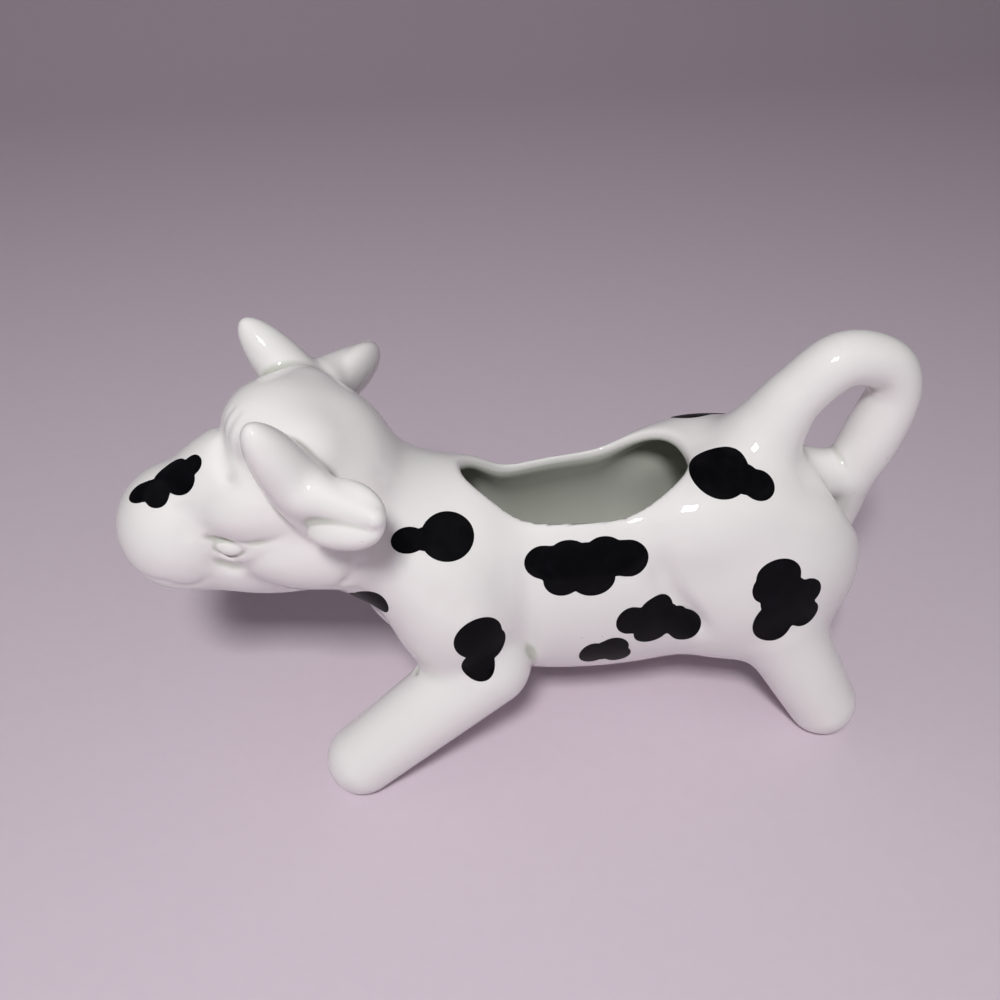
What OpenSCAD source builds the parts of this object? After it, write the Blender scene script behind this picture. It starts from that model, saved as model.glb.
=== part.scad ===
// Cow creamer: a hollow porcelain cow that fills through its back and pours from its mouth.
// The head points along -X, the tail along +X, Z is up and the feet stand on Z = 0.

/* [Overall] */
// Length from the muzzle to the back of the tail loop
cow_length = 178; // [160:1:200]
// Thickness of the cast porcelain wall
wall = 3; // [2.4:0.1:3.6]
// Slip joint left between two luted pieces
lute_gap = 0.3; // [0.2:0.05:0.4]
// Extra depth of the middle of a limb's dished seat, that the slip fills
seat_dish = 0.7; // [0.3:0.1:0.7]

/* [Filling opening] */
// Length of the opening in the back
opening_length = 51; // [40:0.5:54]
// Width of the opening in the back
opening_width = 24.5; // [18:0.5:27]
// Radius of the rounded lip around the opening
lip_radius = 1.7; // [1.5:0.1:2.2]

/* [Pouring mouth] */
// Width of the pouring hole at the muzzle
mouth_width = 12; // [10:0.5:13]
// Height of the pouring hole at the muzzle
mouth_height = 9; // [7.5:0.5:9.5]
// Radius of the rolled lip around the pouring hole
mouth_lip_radius = 1.3; // [1:0.1:1.6]
// Downward slope of the pouring hole in degrees
mouth_slope = 14; // [10:1:30]

/* [Legs and tail] */
// Radius of a leg at its foot
foot_radius = 8.4; // [7.5:0.1:9.2]
// Radius of a front leg where it meets the shoulder
shoulder_leg_radius = 9.8; // [9:0.1:10.5]
// Radius of a hind leg where it meets the haunch
haunch_leg_radius = 10.6; // [9:0.1:11]
// Radius of the tail along the loop
tail_radius = 6.3; // [5:0.1:7]
// Radius of the tail where it leaves the rump
tail_root_radius = 11; // [9:0.1:12]

/* [Horns, ears and eyes] */
// Radius of a horn near its root
horn_root_radius = 5.8; // [5:0.1:6.4]
// Radius of a horn near its tip
horn_tip_radius = 2.9; // [2.4:0.1:3.4]
// Half the width of an ear across the cup
ear_half_width = 9.2; // [7:0.1:10]
// Half the thickness of an ear
ear_half_thick = 4.8; // [3.6:0.1:5.2]
// Depth of the hollow in the front of an ear
ear_cup_depth = 5.8; // [3:0.1:6.4]
// Radius of the bead that forms each eyelid
eyelid_radius = 0.9; // [0.6:0.1:1.2]

/* [Transfers] */
// Thickness of a fired-on black transfer
transfer_thick = 0.3; // [0.2:0.05:0.6]
// Glaze between the skin of the cow and the back of a transfer
transfer_lift = 0.15; // [0.05:0.01:0.3]

/* [Hidden] */
// Shaped masses of the body: place, half-sizes, nose-up tilt in degrees, blend width, paired or single
barrel_shares = [[0.1208, 0, 0.2399], [0.3354, 0.1202, 0.1646], 0.5, 0.0534, 0];
chest_shares = [[-0.0843, 0, 0.2669], [0.0955, 0.1101, 0.1393], -1, 0.0421, 0];
shoulder_shares = [[-0.1039, 0.059, 0.2455], [0.0854, 0.0809, 0.1213], 13, 0.018, 1];
rump_shares = [[0.3118, 0, 0.2978], [0.1371, 0.0989, 0.1051], 0, 0.0421, 0];
hip_shares = [[0.2275, 0.0534, 0.3399], [0.1062, 0.0657, 0.0685], 5.5, 0.059, 1];
haunch_shares = [[0.2933, 0.0596, 0.25], [0.1399, 0.0809, 0.1472], 5, 0.0202, 1];
neck_shares = [[-0.1798, 0, 0.3376], [0.1466, 0.0949, 0.1017], -32, 0.0646, 0];
// Shaped masses of the head, in the same order of values
skull_shares = [[-0.2551, 0, 0.4264], [0.0949, 0.1022, 0.1051], 0, 0.0478, 0];
cheek_shares = [[-0.2685, 0.0433, 0.3601], [0.0966, 0.0646, 0.0618], -8, 0.0365, 1];
bridge_shares = [[-0.3478, 0, 0.4287], [0.1067, 0.0646, 0.0674], 26.5, 0.0421, 0];
muzzle_shares = [[-0.4275, 0, 0.3702], [0.0725, 0.0753, 0.0798], 0.5, 0.032, 0];
jaw_shares = [[-0.3326, 0, 0.318], [0.1202, 0.0612, 0.0556], -8.5, 0.0433, 0];
brow_shares = [[-0.3006, 0.0646, 0.4354], [0.0483, 0.0376, 0.0433], 0, 0.027, 1];
forelock_shares = [[-0.2876, 0, 0.4944], [0.0702, 0.0697, 0.0511], -8, 0.0185, 0];
// Rounding where the left and right mass of a pair meet on the midline
midline_share = 0.0107;
mass_shares = [
  barrel_shares, chest_shares, shoulder_shares, rump_shares, hip_shares, haunch_shares,
  neck_shares, skull_shares, cheek_shares, bridge_shares, muzzle_shares, jaw_shares,
  brow_shares, forelock_shares
];
masses = [for (m = mass_shares) [m[0] * cow_length, m[1] * cow_length, m[2], m[3] * cow_length, m[4]]];
midline_round = midline_share * cow_length;

// Line through the hollow: neck joint, crown of the head, middle of the muzzle, rump
neck_joint_shares = [-0.1878, 0, 0.3439];
crown_shares = [-0.2845, 0, 0.4141];
muzzle_middle_shares = [-0.4296, 0, 0.3655];
rump_middle_shares = [0.3337, 0, 0.258];
// Lean of the neck joint plane in degrees
neck_joint_lean = 32;
// Part of the trunk over which the neck bends up, and how softly it does
neck_run = 0.33;
neck_ease = 1.6;
// Farthest that the skin lies from the line through the hollow
reach_share = 0.25;
reach = reach_share * cow_length;
// Halvings that place a point on the skin
skin_steps = 13;

trunk_rings = 24;
rump_rings = 6;
head_rings = 16;
muzzle_rings = 5;
trunk_sides = 34;
// Spacing of the rings at the neck as a part of their mean spacing
ring_crowd_share = 0.5;
head_sides = 34;

// Lengthwise place of the opening and of the plane under its cutter
opening_place_share = 0.0596;
opening_floor_share = 0.28;
lip_sides = 32;
lip_facets = 8;
cutter_rise_share = 0.3;

// Pouring hole: middle on the muzzle and length of its cutter
mouth_place_shares = [-0.4785, 0, 0.3367];
mouth_cut_share = 0.07;
mouth_sides = 18;

// Eyelids: back corner, middle of the lid and front corner on the right cheek
eye_back_shares = [-0.3176, 0.1156, 0.4071];
eye_front_shares = [-0.3719, 0.1005, 0.4041];
upper_lid_rise_share = 0.017;
lower_lid_drop_share = 0.016;
lid_steps = 6;
lid_facets = 6;
lid_sink_share = 0.3;

// Legs: hip inside the body and middle of the foot, for the pose of a walking cow
left_front_hip_shares = [-0.0674, -0.0933, 0.1607];
left_front_foot_shares = [-0.241, -0.1219, 0.0416];
left_hind_hip_shares = [0.3281, -0.0843, 0.1674];
left_hind_foot_shares = [0.4011, -0.123, 0.0399];
right_front_hip_shares = [-0.0843, 0.0815, 0.1742];
right_front_foot_shares = [0.032, 0.1219, 0.0416];
right_hind_hip_shares = [0.323, 0.0787, 0.177];
right_hind_foot_shares = [0.2382, 0.123, 0.0399];
leg_shares = [
  [left_front_hip_shares, left_front_foot_shares, shoulder_leg_radius],
  [left_hind_hip_shares, left_hind_foot_shares, haunch_leg_radius],
  [right_front_hip_shares, right_front_foot_shares, shoulder_leg_radius],
  [right_hind_hip_shares, right_hind_foot_shares, haunch_leg_radius]
];
// Parts of a limb's thickness at which its dished seat is shaped, from its edge inwards
seat_shares = [1, 0.85, 0.45];
leg_sides = 22;
leg_rings = 7;
dome_steps = 4;

// Tail: route of the loop from inside the rump and back into it
tail_route_shares = [
  [0.2534, 0, 0.3315], [0.2775, 0, 0.3831], [0.3067, 0, 0.4326], [0.3348, 0, 0.4742], [0.3865, 0, 0.5163],
  [0.4449, 0, 0.5056], [0.4674, 0, 0.464], [0.4551, 0, 0.4017], [0.4343, 0, 0.3399], [0.4135, 0, 0.2837],
  [0.396, 0, 0.236]
];
// Share of the root radius at each place on the route, and share of the loop radius left there
tail_root_shares = [1, 1, 0.42, 0.04, 0, 0, 0, 0, 0, 0, 0];
tail_taper_shares = [1, 1, 1, 1, 1, 0.94, 0.91, 0.95, 0.89, 0.6, 0.3];
tail_sides = 18;
tail_rings = 21;
tail_ribs = 40;
tail_probe = 0.02;

// Horns: root inside the skull and tip, on the left and on the right side
left_horn_shares = [[-0.273, -0.1011, 0.4669], [-0.3084, -0.1152, 0.5539]];
right_horn_shares = [[-0.2618, 0.0932, 0.4803], [-0.3197, 0.1152, 0.5562]];
// Share of the way and of the narrowing at which a horn swells a little
horn_swell_shares = [0.5, 0.38];
horn_sides = 14;
horn_rings = 7;

// Ears: inner end inside the head, middle and tip on the left side, and the way of the upper edge
ear_root_shares = [-0.2624, -0.0983, 0.4421];
ear_middle_shares = [-0.2219, -0.146, 0.4663];
ear_tip_shares = [-0.1826, -0.1938, 0.4972];
ear_up_shares = [-0.45, 0.22, 0.86];
// Width and hollow of the ear at even steps from root to tip
ear_width_shares = [0.5, 0.78, 0.93, 1, 1, 0.9, 0.68, 0];
ear_cup_shares = [0, 0.3, 0.8, 1, 1, 0.8, 0.4, 0];
// Part of an ear's length by which all of it has left the head
ear_clear_share = 0.6;
ear_sides = 18;
ear_rings = 9;

// Spots: lengthwise place, height of the aim point, turn from the left side in degrees,
// then the lobes as [along, across, half-length, half-width]
muzzle_spot_shares = [-0.4181, 0.3709, 73, [[-0.027, -0.009, 0.0166, 0.0123], [-0.0086, -0.0032, 0.0219, 0.015],
  [0.0123, 0.0027, 0.0209, 0.0139], [0.0289, 0.0043, 0.0155, 0.0128]]];
neck_spot_shares = [-0.1361, 0.3015, 45, [[-0.0214, 0, 0.0225, 0.0155], [0.0214, 0, 0.0348, 0.0294]]];
throat_spot_shares = [-0.2135, 0.3437, -39, [[-0.007, -0.0053, 0.0166, 0.017], [0.0064, 0.0043, 0.023, 0.022]]];
shoulder_spot_shares = [-0.0845, 0.2412, -3,
  [[0.0011, 0.0214, 0.038, 0.0337], [0.0005, -0.0278, 0.0267, 0.03]]];
flank_spot_shares = [0.0498, 0.2613, 32, [[-0.0465, 0.0043, 0.0251, 0.0203], [-0.0102, 0.0102, 0.0267, 0.0198],
  [0.0262, 0.0112, 0.0267, 0.0198], [0.054, 0.0037, 0.0246, 0.0176], [0.007, -0.0176, 0.0369, 0.0241],
  [-0.0294, -0.0134, 0.0241, 0.0182]]];
belly_spot_shares = [0.1508, 0.2412, -4, [[-0.0412, 0.0118, 0.0187, 0.0225], [-0.007, 0.0203, 0.0187, 0.0251],
  [0.039, -0.0021, 0.0155, 0.023], [-0.0128, -0.0182, 0.0214, 0.0182], [0.0251, -0.0209, 0.0198, 0.0246],
  [-0.0011, 0.0032, 0.0278, 0.0241]]];
underbelly_spot_shares = [0.0805, 0.2412, -27,
  [[-0.0128, -0.0037, 0.0176, 0.025], [0.0128, 0.0032, 0.0235, 0.028]]];
croup_spot_shares = [0.2416, 0.3015, 57,
  [[-0.0135, 0.0056, 0.0374, 0.0316], [0.0292, -0.0124, 0.0213, 0.0191]]];
haunch_spot_shares = [0.3019, 0.2563, 2, [[-0.0123, 0.0321, 0.0278, 0.0251], [-0.0294, 0.0128, 0.0128, 0.0187],
  [0.0299, 0.0059, 0.0193, 0.0187], [0.0305, -0.0294, 0.0241, 0.0305], [-0.0102, -0.0348, 0.0273, 0.0449],
  [-0.0005, 0, 0.0342, 0.0348]]];
far_croup_spot_shares = [0.2184, 0.3015, 117, [[-0.018, 0, 0.03, 0.026], [0.02, 0.004, 0.024, 0.02]]];
far_neck_spot_shares = [-0.1186, 0.3015, 150, [[-0.016, 0.004, 0.024, 0.022], [0.018, -0.006, 0.03, 0.026]]];
far_shoulder_spot_shares = [-0.0834, 0.2412, 178, [[0, -0.018, 0.03, 0.03], [0.004, 0.022, 0.036, 0.028]]];
far_flank_spot_shares = [0.0723, 0.2613, 157, [[-0.04, 0, 0.026, 0.02], [0, 0.01, 0.036, 0.022],
  [0.038, -0.002, 0.026, 0.022], [0.01, -0.018, 0.03, 0.018]]];
far_belly_spot_shares = [0.1327, 0.2412, 195, [[-0.022, 0, 0.024, 0.02], [0.016, 0.006, 0.028, 0.022]]];
far_haunch_spot_shares = [0.3136, 0.2563, 175, [[0, 0.026, 0.03, 0.026], [-0.012, -0.014, 0.026, 0.03],
  [0.02, -0.008, 0.024, 0.024]]];
far_cheek_spot_shares = [-0.2493, 0.3618, 176, [[-0.008, 0, 0.022, 0.018], [0.014, 0.004, 0.018, 0.016]]];
spot_sides = 24;
// Bare glaze left between a transfer and a luted limb
spot_clear_share = 0.006;
spot_trims = 7;
spot_bands = 2;
// Depth to either side of the tangent plane in which a spot looks for the skin
spot_search_share = 0.06;
probe_share = 0.001;
probe = probe_share * cow_length;

glaze_colour = [0.93, 0.92, 0.9];
transfer_colour = [0.03, 0.03, 0.035];

// Smooth union of two distances
function blend(a, b, k) =
  let (h = max(k - abs(a - b), 0) / k)
  min(a, b) - h * h * h * k / 6;

// Distance from a place to one mass, below zero inside it
function mass_gap(p, m) =
  let (
    y = m[4] == 1 ? sqrt(p.y * p.y + midline_round * midline_round) : p.y,
    d = [p.x - m[0].x, y - m[0].y, p.z - m[0].z],
    u = cos(m[2]) * d.x + sin(m[2]) * d.z,
    w = cos(m[2]) * d.z - sin(m[2]) * d.x,
    q = [u / m[1].x, d.y / m[1].y, w / m[1].z],
    g = norm([q.x / m[1].x, q.y / m[1].y, q.z / m[1].z])
  )
  g == 0 ? -min(m[1]) : norm(q) * (norm(q) - 1) / g;

// Distance from a place to the skin of the body and head
function skin_gap(p, i = 1, gap = undef) =
  i >= len(masses)
    ? gap
    : let (before = gap == undef ? mass_gap(p, masses[0]) : gap)
      skin_gap(p, i + 1, blend(before, mass_gap(p, masses[i]), masses[i][3]));

// Place between two ends where the skin distance reaches a level
function find_skin(inside, outside, level, steps = skin_steps) =
  let (mid = (inside + outside) / 2)
  steps == 0 ? mid
    : skin_gap(mid) < level ? find_skin(mid, outside, level, steps - 1)
    : find_skin(inside, mid, level, steps - 1);

function mix(a, b, t) = a + (b - a) * t;

// Stations of the hollow: place, lean of the ring and how far it fans towards the end
function neck_joint(side) =
  neck_joint_shares * cow_length + [cos(neck_joint_lean), 0, -sin(neck_joint_lean)] * side * lute_gap / 2;
function trunk_station(s) =
  let (
    bend = max(0, 1 - s / neck_run),
    start = neck_joint(1),
    end = rump_middle_shares * cow_length,
    x = mix(start.x, end.x, s),
    z = mix(end.z, start.z, pow(bend, neck_ease))
  )
  [[x, 0, z], neck_joint_lean * bend, 0];
function head_station(s) =
  let (
    a = mix(neck_joint(-1), crown_shares * cow_length, s),
    b = mix(crown_shares, muzzle_middle_shares, s) * cow_length
  )
  [mix(a, b, s), neck_joint_lean * (1 - s) * (1 - s), 0];
function trunk_stations() = concat(
  [
    for (i = [0:trunk_rings])
      let (t = i / trunk_rings)
      trunk_station(mix(t * t, t, ring_crowd_share))
  ],
  [for (i = [1:rump_rings]) [rump_middle_shares * cow_length, 0, 90 * i / (rump_rings + 1)]]
);
function head_stations() = concat(
  [for (i = [0:head_rings]) head_station(i / head_rings)],
  [for (i = [1:muzzle_rings]) [muzzle_middle_shares * cow_length, 0, 90 * i / (muzzle_rings + 1)]]
);

// Ring of skin points around one station; way is 1 towards the tail and -1 towards the muzzle
function ray(station, way, turn) =
  let (
    up = [sin(station[1]), 0, cos(station[1])],
    ahead = [cos(station[1]), 0, -sin(station[1])] * way,
    out = [0, cos(turn), 0] + up * sin(turn)
  )
  out * cos(station[2]) + ahead * sin(station[2]);
function skin_ring(station, way, sides, level) = [
  for (j = [0:sides - 1])
    find_skin(station[0], station[0] + ray(station, way, 360 * j / sides) * reach, level)
];
function skin_tip(station, way, level) =
  find_skin(station[0], station[0] + ray([station[0], station[1], 90], way, 0) * reach, level);

// Triangles of a band between ring a and ring b, and of a fan from a ring to a tip
function band(a, b, n) = [
  for (j = [0:n - 1])
    for (t = [0, 1])
      let (k = (j + 1) % n)
      t == 0 ? [a + j, b + j, b + k] : [a + j, b + k, a + k]
];
function fan(a, tip, n) = [for (j = [0:n - 1]) [a + j, tip, a + (j + 1) % n]];
function flip(faces) = [for (f = faces) [f[2], f[1], f[0]]];
function joined(lists) = [for (l = lists) for (v = l) v];

// Hollow casting, open at its first ring; the inner skin uses every second station
module casting(stations, way, sides) {
  last = len(stations) - 1;
  inner = concat([stations[0]], [for (i = [2:2:last]) stations[i]]);
  outer_rings = [for (s = stations) skin_ring(s, way, sides, 0)];
  inner_rings = [for (s = inner) skin_ring(s, way, sides, -wall)];
  tips = [skin_tip(stations[last], way, 0), skin_tip(stations[last], way, -wall)];
  n = len(outer_rings);
  m = len(inner_rings);
  start = n * sides;
  tip = (n + m) * sides;
  faces = joined([
    joined([for (i = [0:n - 2]) band(i * sides, (i + 1) * sides, sides)]),
    fan((n - 1) * sides, tip, sides),
    flip(joined([for (i = [0:m - 2]) band(start + i * sides, start + (i + 1) * sides, sides)])),
    flip(fan(start + (m - 1) * sides, tip + 1, sides)),
    band(start, 0, sides)
  ]);
  points = joined([joined(outer_rings), joined(inner_rings), tips]);
  polyhedron(points = points, faces = way > 0 ? faces : flip(faces));
}

// Bead of balls and links along a closed or open run of places
module bead(places, radius, facets, closed) {
  for (i = [0:len(places) - (closed ? 1 : 2)])
    hull() {
      translate(places[i]) sphere(r = radius, $fn = facets);
      translate(places[(i + 1) % len(places)]) sphere(r = radius, $fn = facets);
    }
}

// Lip of the filling opening, half way through the wall
function lip_place(turn) =
  let (
    middle = [opening_place_share, 0, opening_floor_share] * cow_length,
    p = middle + [cos(turn) * opening_length, sin(turn) * opening_width, 0] / 2
  )
  find_skin(p, p + [0, 0, reach], -wall / 2);

module body() {
  color(glaze_colour)
    union() {
      difference() {
        casting(trunk_stations(), 1, trunk_sides);
        translate([opening_place_share, 0, opening_floor_share] * cow_length)
          scale([opening_length / opening_width, 1, 1])
            cylinder(h = cutter_rise_share * cow_length, d = opening_width, $fn = lip_sides);
      }
      bead([for (i = [0:lip_sides - 1]) lip_place(360 * i / lip_sides)], lip_radius, lip_facets, true);
    }
}

// Place on the skin of the cheek below or above a named place
function cheek_place(shares, side) =
  let (p = [shares.x * cow_length, 0, shares.z * cow_length])
  find_skin(p, p + [0, side * reach, 0], -eyelid_radius * lid_sink_share);
function lid_places(rise_share, side) = [
  for (i = [0:lid_steps])
    let (t = i / lid_steps, p = mix(eye_back_shares, eye_front_shares, t))
    cheek_place([p.x, p.y, p.z + rise_share * sin(180 * t)], side)
];
function mouth_lip_place(turn) =
  let (
    side = [0, 1, 0] * cos(turn) * mouth_width / 2,
    rise = [-sin(mouth_slope), 0, cos(mouth_slope)] * sin(turn) * mouth_height / 2,
    along = [-cos(mouth_slope), 0, -sin(mouth_slope)] * mouth_cut_share * cow_length,
    p = mouth_place_shares * cow_length + side + rise
  )
  find_skin(p - along, p + along, -wall / 2);

module head() {
  color(glaze_colour)
    union() {
      difference() {
        casting(head_stations(), -1, head_sides);
        translate(mouth_place_shares * cow_length)
          rotate([0, -90 - mouth_slope, 0])
            scale([mouth_height / mouth_width, 1, 1])
              cylinder(h = 2 * mouth_cut_share * cow_length, d = mouth_width, center = true, $fn = mouth_sides);
      }
      mouth_places = [for (i = [0:mouth_sides - 1]) mouth_lip_place(360 * i / mouth_sides)];
      bead(mouth_places, mouth_lip_radius, lip_facets, true);
      for (side = [-1, 1]) {
        bead(lid_places(upper_lid_rise_share, side), eyelid_radius, lid_facets, false);
        bead(lid_places(-lower_lid_drop_share, side), eyelid_radius, lid_facets, false);
      }
    }
}

// Limb: ribs of [middle, half-width, half-thickness, hollow, way across], with one way v through it
function rib(middle, half_width, half_thick, hollow, across) = [middle, half_width, half_thick, hollow, across];
function rib_place(one, v, turn, part) =
  let (
    middle = one[0],
    across = one[len(one) - 1],
    s = sin(turn),
    thick = one[2] * s - (s > 0 ? one[3] * s * s : 0)
  )
  middle + (across * cos(turn) * one[1] + v * thick) * part;
function limb_place(ribs, v, turn, part, t) =
  let (i = min(floor(t), len(ribs) - 2), f = t - i)
  mix(rib_place(ribs[i], v, turn, part), rib_place(ribs[i + 1], v, turn, part), f);
// Distance from a place to a straight round rod: two ends, each with its radius
function rod_gap(p, rod) =
  let (
    a = rod[0],
    b = rod[1],
    t = min(1, max(0, (p - a) * (b - a) / ((b - a) * (b - a))))
  )
  norm(p - mix(a, b, t)) - mix(rod[2], rod[3], t);
// Point of the limb, counted in ribs, where it leaves the skin and the rods that it is luted against
function limb_start(ribs, v, turn, part, inside, outside, rods, steps = skin_steps) =
  let (
    mid = (inside + outside) / 2,
    p = limb_place(ribs, v, turn, part, mid)
  )
  steps == 0 ? mid
    : min(concat([skin_gap(p)], [for (r = rods) rod_gap(p, r)])) < lute_gap + seat_dish * (1 - part)
    ? limb_start(ribs, v, turn, part, mid, outside, rods, steps - 1)
    : limb_start(ribs, v, turn, part, inside, mid, rods, steps - 1);
function limb_foot(p) = [p.x, p.y, max(p.z, 0)];

// Seat of a limb: places from its edge inwards, then its middle
function limb_seat(ribs, v, sides, inside, outside, rods) = concat(
  [
    for (part = [for (i = [1:len(seat_shares) - 1]) seat_shares[i]]) for (j = [0:sides - 1])
      let (turn = 360 * j / sides)
      limb_place(ribs, v, turn, part, limb_start(ribs, v, turn, part, inside, outside, rods))
  ],
  [limb_place(ribs, v, 0, 0, limb_start(ribs, v, 0, 0, inside, outside, rods))]
);
// Triangles of a seat whose places begin at first, under an edge that begins at edge
function seat_faces(edge, first, sides) =
  let (n = len(seat_shares) - 1)
  joined([
    band(first, edge, sides),
    joined([for (i = [0:n - 2]) band(first + (i + 1) * sides, first + i * sides, sides)]),
    flip(fan(first + (n - 1) * sides, first + n * sides, sides))
  ]);

// Limb luted on at its first rib and closed at its last one
module limb(ribs, v, sides, rings, clear, rods = []) {
  edge = [for (j = [0:sides - 1]) limb_start(ribs, v, 360 * j / sides, 1, 0, clear, rods)];
  last = len(ribs) - 1;
  shell = [
    for (i = [0:rings - 1]) for (j = [0:sides - 1])
      limb_foot(limb_place(ribs, v, 360 * j / sides, 1, mix(edge[j], last, i / rings)))
  ];
  tip = rings * sides;
  faces = joined([
    joined([for (i = [0:rings - 2]) band(i * sides, (i + 1) * sides, sides)]),
    fan((rings - 1) * sides, tip, sides),
    seat_faces(0, tip + 1, sides)
  ]);
  seat = limb_seat(ribs, v, sides, 0, clear, rods);
  polyhedron(points = joined([shell, [limb_foot(ribs[last][0])], seat]), faces = faces);
}

// Half ball that ends a limb, as ribs from its widest place to its top
function dome(middle, along, radius, across) = [
  for (i = [0:dome_steps])
    let (a = 90 * i / dome_steps)
    rib(middle + along * radius * sin(a), radius * cos(a), radius * cos(a), 0, across)
];
function backwards(list) = [for (i = [len(list) - 1:-1:0]) list[i]];
function sideways(along) = cross(along, [0, 1, 0]) / norm(cross(along, [0, 1, 0]));

module leg(shares) {
  hip = shares[0] * cow_length;
  foot = shares[1] * cow_length;
  hip_radius = shares[2];
  along = (foot - hip) / norm(foot - hip);
  u = sideways(along);
  ribs = concat(backwards(dome(hip, -along, hip_radius, u)), dome(foot, along, foot_radius, u));
  color(glaze_colour) limb(ribs, cross(along, u), leg_sides, leg_rings, dome_steps + 1);
}

// Horn as two rods, and the same one mirrored to the other side
function horn_rods(shares) =
  let (
    root = shares[0] * cow_length,
    tip = shares[1] * cow_length,
    swell = mix(root, tip, horn_swell_shares.x),
    swell_radius = mix(horn_root_radius, horn_tip_radius, horn_swell_shares.y)
  )
  [[root, swell, horn_root_radius, swell_radius], [swell, tip, swell_radius, horn_tip_radius]];
function mirrored(shares) = [for (p = shares) [p.x, -p.y, p.z]];

module horn(shares) {
  rods = horn_rods(shares);
  root = rods[0][0];
  swell = rods[1][0];
  tip = rods[1][1];
  swell_radius = rods[1][2];
  along = (tip - root) / norm(tip - root);
  u = sideways(along);
  ribs = concat(
    [rib(root, horn_root_radius, horn_root_radius, 0, u), rib(swell, swell_radius, swell_radius, 0, u)],
    dome(tip, along, horn_tip_radius, u)
  );
  color(glaze_colour) limb(ribs, cross(along, u), horn_sides, horn_rings, 2);
}

module ear(side, horn_shares) {
  root = ear_root_shares * cow_length;
  middle = ear_middle_shares * cow_length;
  tip = ear_tip_shares * cow_length;
  along = (tip - root) / norm(tip - root);
  up = ear_up_shares - along * (ear_up_shares * along);
  u = up / norm(up);
  last = len(ear_width_shares) - 1;
  ribs = [
    for (i = [0:last])
      let (
        t = i / last,
        w = ear_width_shares[i],
        place = mix(mix(root, middle, t), mix(middle, tip, t), t)
      )
      rib(place, ear_half_width * w, ear_half_thick * sqrt(w), ear_cup_depth * ear_cup_shares[i], u)
  ];
  clear = last * ear_clear_share;
  rods = horn_rods(horn_shares);
  color(glaze_colour)
    scale([1, -side, 1])
      limb(ribs, cross(along, u), ear_sides, ear_rings, clear, rods);
}

// Smooth run through a list of places or sizes, counted in entries
function run(list, t) =
  let (
    last = len(list) - 1,
    i = min(floor(t), last - 1),
    f = t - i,
    a = list[max(i - 1, 0)],
    b = list[i],
    c = list[i + 1],
    d = list[min(i + 2, last)]
  )
  b + ((c - a) * f + (2 * a - 5 * b + 4 * c - d) * f * f + (3 * b - a - 3 * c + d) * f * f * f) / 2;
function tail_place(t) = run(tail_route_shares, t) * cow_length;
function tail_thick(t) =
  mix(tail_radius * run(tail_taper_shares, t), tail_root_radius, run(tail_root_shares, t));
function tail_rib(t) =
  let (
    last = len(tail_route_shares) - 1,
    way = tail_place(min(t + tail_probe, last)) - tail_place(max(t - tail_probe, 0)),
    radius = tail_thick(t)
  )
  rib(tail_place(t), radius, radius, 0, [way.z, 0, -way.x] / norm(way));

module tail_handle() {
  span = len(tail_route_shares) - 1;
  ribs = [for (i = [0:tail_ribs]) tail_rib(span * i / tail_ribs)];
  v = [0, 1, 0];
  half = tail_ribs / 2;
  turns = [for (j = [0:tail_sides - 1]) 360 * j / tail_sides];
  roots = [for (a = turns) limb_start(ribs, v, a, 1, 0, half, [])];
  tips = [for (a = turns) limb_start(ribs, v, a, 1, tail_ribs, half, [])];
  tube = [
    for (i = [0:tail_rings]) for (j = [0:tail_sides - 1])
      limb_place(ribs, v, turns[j], 1, mix(roots[j], tips[j], i / tail_rings))
  ];
  root_seat = limb_seat(ribs, v, tail_sides, 0, half, []);
  tip_seat = limb_seat(ribs, v, tail_sides, tail_ribs, half, []);
  end = len(tube);
  faces = joined([
    joined([for (i = [0:tail_rings - 1]) band(i * tail_sides, (i + 1) * tail_sides, tail_sides)]),
    seat_faces(0, end, tail_sides),
    flip(seat_faces(tail_rings * tail_sides, end + len(root_seat), tail_sides))
  ]);
  color(glaze_colour) polyhedron(points = joined([tube, root_seat, tip_seat]), faces = faces);
}

// Distance from a place to the legs and the tail
function limb_gap(p) = min(concat(
  [for (l = leg_shares) rod_gap(p, [l[0] * cow_length, l[1] * cow_length, l[2], foot_radius])],
  [
    for (i = [0:len(tail_route_shares) - 2])
      rod_gap(p, [tail_place(i), tail_place(i + 1), tail_thick(i), tail_thick(i + 1)])
  ]
));
// Edge of a spot in one direction, held clear of the limbs that are luted on
function trimmed(middle, way, inner, outer, steps = spot_trims) =
  let (mid = (inner + outer) / 2)
  limb_gap(middle + way * outer) > spot_clear_share * cow_length ? outer
    : steps == 0 ? inner
    : limb_gap(middle + way * mid) > spot_clear_share * cow_length
    ? trimmed(middle, way, mid, outer, steps - 1)
    : trimmed(middle, way, inner, mid, steps - 1);

// Outline of a spot: farthest edge of its lobes in one direction from the aim point
function lobe_edge(lobe, turn) =
  let (
    a = pow(cos(turn) / lobe[2], 2) + pow(sin(turn) / lobe[3], 2),
    b = lobe[0] * cos(turn) / pow(lobe[2], 2) + lobe[1] * sin(turn) / pow(lobe[3], 2),
    c = pow(lobe[0] / lobe[2], 2) + pow(lobe[1] / lobe[3], 2) - 1,
    q = b * b - a * c
  )
  q < 0 ? 0 : (b + sqrt(q)) / a;
function spot_edge(lobes, turn) = max([for (l = lobes) lobe_edge(l, turn)]) * cow_length;
function skin_normal(p) =
  let (
    g = [
      for (e = [[1, 0, 0], [0, 1, 0], [0, 0, 1]])
        skin_gap(p + e * probe) - skin_gap(p - e * probe)
    ]
  )
  g / norm(g);

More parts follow.
